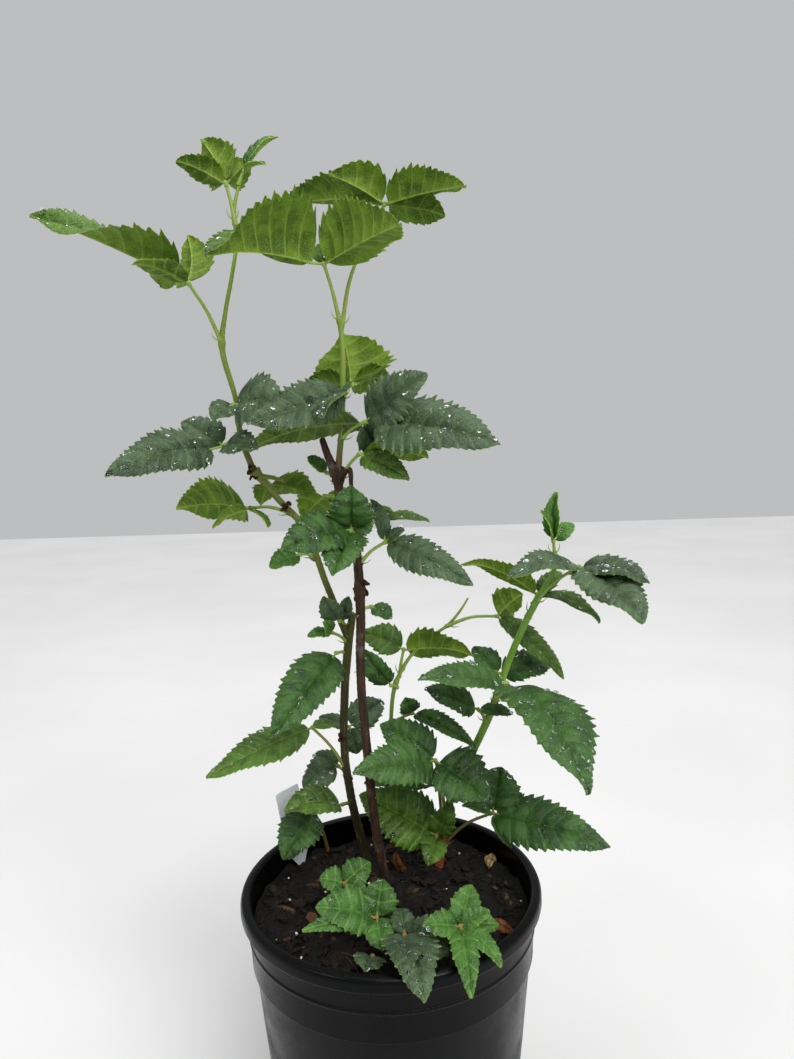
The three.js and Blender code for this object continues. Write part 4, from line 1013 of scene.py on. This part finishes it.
def pot_piece():
    top, lip = POT_HEIGHT, LIP_RADIUS
    under_lip, inner = top - LIP_HEIGHT, lip - LIP_WIDTH
    upper, lower = top - UPPER_RING_DROP, top - LOWER_RING_DROP
    outside = [(0, 0), (BASE_RADIUS - 5, 0), (BASE_RADIUS - 4, 0.5), (BASE_RADIUS - 1.5, 0),
               (BASE_RADIUS, 1.5), (71.6, 80), (76, lower - 1), (77.4, lower - 0.6), (77.5, lower + 0.2),
               (78.05, upper - 1.3), (78.75, upper - 0.6), (78.75, upper + 0.5), (78.3, upper + 1.2),
               (79.1, under_lip - 0.6), (81.9, under_lip), (lip, under_lip + 0.9), (lip - 0.1, top - 2.6),
               (lip - 0.9, top - 0.6), (lip - 2.6, top)]
    inside = [(inner + 1.6, top - 0.1), (inner + 0.2, top - 1.2), (inner - 0.4, lower + 6),
              (76 - POT_WALL, lower - 4), (BASE_RADIUS - POT_WALL, POT_FLOOR + 1.5),
              (BASE_RADIUS - POT_WALL - 1.5, POT_FLOOR), (0, POT_FLOOR)]
    surface = Surface()
    turned(surface, rounded(outside + inside, 0.8), 160)
    piece = surface.build("pot_fine", [pot_material()], sharp=40)
    for i in range(DRAIN_HOLES):
        angle = 2 * math.pi * (i + 0.5) / DRAIN_HOLES
        bm = bmesh.new()
        bmesh.ops.create_cone(bm, cap_ends=True, segments=32, radius1=DRAIN_HOLE_RADIUS * MM,
                              radius2=DRAIN_HOLE_RADIUS * MM, depth=4 * POT_FLOOR * MM)
        reach = DRAIN_CIRCLE_RADIUS * MM
        hole = (reach * math.cos(angle), reach * math.sin(angle), POT_FLOOR / 2 * MM)
        bm.transform(Matrix.Translation(hole))
        cutter_mesh = bpy.data.meshes.new("cutter")
        bm.to_mesh(cutter_mesh)
        bm.free()
        cutter = bpy.data.objects.new("cutter", cutter_mesh)
        bpy.context.scene.collection.objects.link(cutter)
        cut = piece.modifiers.new("hole", "BOOLEAN")
        cut.object, cut.operation, cut.solver = cutter, "DIFFERENCE", "EXACT"
        holed = piece.evaluated_get(bpy.context.evaluated_depsgraph_get())
        cut_mesh = bpy.data.meshes.new_from_object(holed)
        piece.modifiers.clear()
        piece.data = cut_mesh
        bpy.data.objects.remove(cutter)
    piece.data.set_sharp_from_angle(angle=math.radians(40))
    place(piece, "pot_plastic", "pot")


# ---------- soil ----------

def soil_height(x, y):
    ripple = math.sin(x / 11 + 1) * math.cos(y / 13) + 0.6 * math.sin((x + y) / 7)
    return SOIL_LEVEL + 1.4 * ripple


def soil_piece():
    """The root ball: a lumpy top, a plain wall down to the pot's floor, and bark chips in the top."""
    dice = random.Random("soil")
    surface = Surface()
    rim, sides, rings = LIP_RADIUS - LIP_WIDTH - 0.9, 150, 62
    lumps = [(dice.uniform(-76, 76), dice.uniform(-76, 76), dice.uniform(1.2, 5), dice.uniform(-0.6, 1.7))
             for _ in range(900)]
    lump_x, lump_y, lump_r, lump_h = np.array(lumps).T
    points, faces = [], []
    for i in range(rings, 0, -1):
        for j in range(sides):
            angle = 2 * math.pi * (j + 0.5 * (i % 2)) / sides
            x, y = rim * i / rings * math.cos(angle), rim * i / rings * math.sin(angle)
            near = ((lump_x - x) ** 2 + (lump_y - y) ** 2) / lump_r ** 2
            lump = float(np.sum(lump_h * np.exp(-near)))
            points.append((x, y, soil_height(x, y) + lump * 1.5 - 1.0 + dice.uniform(-0.25, 0.25)))
    for i in range(rings - 1):
        for j in range(sides):
            a, b = i * sides + j, i * sides + (j + 1) % sides
            faces.append((a, b, b + sides, a + sides))
    points.append((0, 0, soil_height(0, 0)))
    middle = len(points) - 1
    inmost = (rings - 1) * sides
    faces += [(inmost + j, inmost + (j + 1) % sides, middle) for j in range(sides)]
    wall = [(76 - POT_WALL - 0.4, POT_HEIGHT - LOWER_RING_DROP - 4),
            (BASE_RADIUS - POT_WALL - 0.4, POT_FLOOR + 0.4)]
    above = list(range(sides))
    for radius, height in wall:
        first = len(points)
        points += [(radius * math.cos(a), radius * math.sin(a), height)
                   for a in 2 * math.pi * (np.arange(sides) + 0.5 * (rings % 2)) / sides]
        below = [first + j for j in range(sides)]
        faces += [(below[j], below[(j + 1) % sides], above[(j + 1) % sides], above[j])
                  for j in range(sides)]
        above = below
    points.append((0, 0, POT_FLOOR + 0.4))
    faces += [(len(points) - 1, above[(j + 1) % sides], above[j]) for j in range(sides)]
    surface.add(points, faces, 0, tint=0.3)
    for kind, count in (("chip", 950), ("fibre", 120), ("perlite", 40)):
        for _ in range(count):
            reach, angle = (rim - 3) * math.sqrt(dice.random()), dice.uniform(0, 2 * math.pi)
            x, y = reach * math.cos(angle), reach * math.sin(angle)
            at = np.array([x, y, soil_height(x, y) + dice.uniform(-0.3, 0.9)])
            if kind == "fibre":
                way = unit(np.array([dice.gauss(0, 1), dice.gauss(0, 1), dice.gauss(0, 0.12)]))
                size = dice.uniform(2.5, 7)
                bow = at + np.array([0, 0, dice.uniform(0.2, 1.2)])
                width = dice.uniform(0.15, 0.45)
                tube(surface, [at - way * size, bow, at + way * size], [width, width, width * 0.5], 6, 1.6,
                     1, dice.uniform(0.4, 0.9))
                continue
            size = 1.2 + 4.8 * dice.random() ** 2 if kind == "chip" else dice.uniform(0.6, 1.3)
            flat = 0.32 if kind == "chip" else 0.85
            lump_points = []
            base = Matrix.Rotation(dice.uniform(0, 6), 3, "Z") @ Matrix.Rotation(dice.gauss(0, 0.4), 3, "X")
            narrow = dice.uniform(0.28, 0.7) if kind == "chip" else dice.uniform(0.6, 1)
            stretch = (1.0, narrow, flat * dice.uniform(0.6, 1.2))
            for corner in LUMP_POINTS:
                jitter = [c * dice.uniform(0.75, 1.2) * size * s for c, s in zip(corner, stretch)]
                lump_points.append(at + np.array(base @ Vector(jitter)))
            slot = 2 if kind == "perlite" else 1
            surface.add(lump_points, LUMP_FACES, slot, tint=dice.random() ** 3)
    piece = surface.build("soil_fine", [soil_material("potting_mix_skin", "050403", "17110d", 0.3),
                                        soil_material("bark_chip_skin", "0a0705", "281d15", 0.25),
                                        pale_material("perlite", "d8d6d0", "8f8a80", 0.7)], sharp=38)
    place(piece, "potting_mix", "soil")


def lump():
    """Points and faces of a small ball with 20 faces cut once more, for chips and grains."""
    bm = bmesh.new()
    bmesh.ops.create_icosphere(bm, subdivisions=1, radius=1)
    points = [tuple(v.co) for v in bm.verts]
    faces = [tuple(v.index for v in f.verts) for f in bm.faces]
    bm.free()
    return points, faces


LUMP_POINTS, LUMP_FACES = lump()

# ---------- label and dead leaves ----------

def label_piece():
    """The blank label: a thin plate with rounded corners and a spike."""
    width, top, spike, thick = 16, 40, 16, 0.9
    outline = [(0, -spike), (width / 2, 0)]
    for centre_x, start in ((width / 2 - 1.5, 0), (1.5 - width / 2, 90)):
        for step in range(6):
            angle = math.radians(start + 18 * step)
            outline.append((centre_x + 1.5 * math.cos(angle), top - 1.5 + 1.5 * math.sin(angle)))
    outline.append((-width / 2, 0))
    bm = bmesh.new()
    corners = [bm.verts.new((x * MM, -thick / 2 * MM, z * MM)) for x, z in outline]
    plate = bm.faces.new(corners)
    moved = bmesh.ops.extrude_face_region(bm, geom=[plate])["geom"]
    far_side = [v for v in moved if isinstance(v, bmesh.types.BMVert)]
    bmesh.ops.translate(bm, verts=far_side, vec=(0, thick * MM, 0))
    bmesh.ops.recalc_face_normals(bm, faces=bm.faces)
    bmesh.ops.bevel(bm, geom=bm.edges[:], offset=0.2 * MM, segments=2, affect="EDGES")
    mesh = bpy.data.meshes.new("label_fine")
    bm.to_mesh(mesh)
    bm.free()
    mesh.materials.append(pale_material("label_plastic_skin", "c9cdd0", "a9aaa4", 0.45))
    mesh.shade_smooth()
    mesh.set_sharp_from_angle(angle=math.radians(50))
    piece = bpy.data.objects.new("label_fine", mesh)
    bpy.context.scene.collection.objects.link(piece)
    turn = Matrix.Rotation(0.7, 4, "Z") @ Matrix.Rotation(-0.16, 4, "Y")
    piece.matrix_world = Matrix.Translation((-57 * MM, 45 * MM, (SOIL_LEVEL + 10) * MM)) @ turn
    place(piece, "label_plastic", "label")


LITTER = [
    dict(name="fallen_leaf_beige", start=[63, 36], end=[56, 38], width=11, lift=1.3, rise=1, skin=BEIGE),
    dict(name="fallen_leaf_brown", start=[50, -22], end=[64, -30], width=8, lift=1.6, rise=0, skin=BROWN),
    dict(name="withered_leaf", start=[7, 30], end=[2, 31], width=8, lift=1.5, rise=13, skin=BROWN),
]


def litter_piece(name, start, end, width, lift, rise, skin):
    """A dead leaf that lies on the soil, or leans where it has dried on its stalk."""
    surface = Surface()
    base = [*start, soil_height(*start) + lift]
    tip = [*end, soil_height(*end) + lift + rise]
    face = [-1, -1, 0] if rise > 5 else [0, -0.2, 1]
    blade = dict(tip=tip, width=width, face=face, fold=14, arch=0.12)
    leaflet(surface, base, blade, (0, 0), random.Random(name), curl=0.35)
    piece = surface.build(name + "_fine", [skin])
    place(piece, "dry_leaf", name)


# ---------- the whole plant ----------

pot_piece()
soil_piece()
label_piece()
for stem_name in STEMS:
    stem_piece(stem_name, WOOD.get(stem_name) or GREEN[stem_name])
for stem_name, specs in LEAVES.items():
    for leaf_spec in specs:
        leaf_piece(leaf_spec, stem_name)
for fallen in LITTER:
    litter_piece(**fallen)
water_drops()

# ---------- floor, light and camera ----------

def stage_floor():
    bm = bmesh.new()
    bmesh.ops.create_grid(bm, x_segments=2, y_segments=2, size=3)
    mesh = bpy.data.meshes.new("floor")
    bm.to_mesh(mesh)
    bm.free()
    g = Graph("floor_skin", Specular_IOR_Level=0.2)
    tone = g.mix(g.spread(g.noise(3, 2), 0.3, 0.7), shade("cfcfce"), shade("d4d4d3"))
    mesh.materials.append(g.finish(tone, 0.8))
    floor = bpy.data.objects.new("floor", mesh)
    bpy.context.scene.collection.objects.link(floor)


def lamp(name, where, target, size, power):
    data = bpy.data.lights.new(name, "AREA")
    data.size, data.energy = size, power
    light = bpy.data.objects.new(name, data)
    light.location = where
    light.rotation_euler = (Vector(target) - Vector(where)).to_track_quat("-Z", "Y").to_euler()
    bpy.context.scene.collection.objects.link(light)


stage_floor()
middle = (0, 0, (cad_low.z + cad_high.z) / 2)
# Each lamp's place, its target, its width in metres and its power in watts.
lamp("sky", (0.1, 0.2, 1.8), middle, 1.4, 9)
lamp("window", (-1.3, -1.2, 1.2), middle, 0.7, 5)
lamp("fill", (1.3, -1.1, 1.0), middle, 0.8, 6)
sun_data = bpy.data.lights.new("sun", "SUN")
sun_data.energy, sun_data.angle = 2.0, math.radians(40)
sun = bpy.data.objects.new("sun", sun_data)
sun.rotation_euler = Vector((-0.45, 1.0, -1.1)).to_track_quat("-Z", "Y").to_euler()
bpy.context.scene.collection.objects.link(sun)

world = bpy.data.worlds.new("studio")
bpy.context.scene.world = world
world.use_nodes = True
world.node_tree.nodes["Background"].inputs["Color"].default_value = (0.9, 0.91, 0.92, 1)
world.node_tree.nodes["Background"].inputs["Strength"].default_value = 0.5
bpy.context.scene.view_settings.view_transform = "Standard"
bpy.context.scene.view_settings.look = "Medium High Contrast"

SENSOR_WIDTH = 36
FOCAL_RATIO = 0.75165
CAMERA_PLACE = (0.0092, -0.4156, 0.4117)
CAMERA_TILT = math.radians(83)
CAMERA_ROLL = -0.03

camera_data = bpy.data.cameras.new("camera")
camera_data.sensor_width = SENSOR_WIDTH
camera_data.lens = SENSOR_WIDTH * FOCAL_RATIO
camera = bpy.data.objects.new("camera", camera_data)
tilt = Matrix.Rotation(CAMERA_TILT, 4, "X") @ Matrix.Rotation(CAMERA_ROLL, 4, "Z")
camera.matrix_world = Matrix.Translation(CAMERA_PLACE) @ tilt
bpy.context.scene.collection.objects.link(camera)
bpy.context.scene.camera = camera
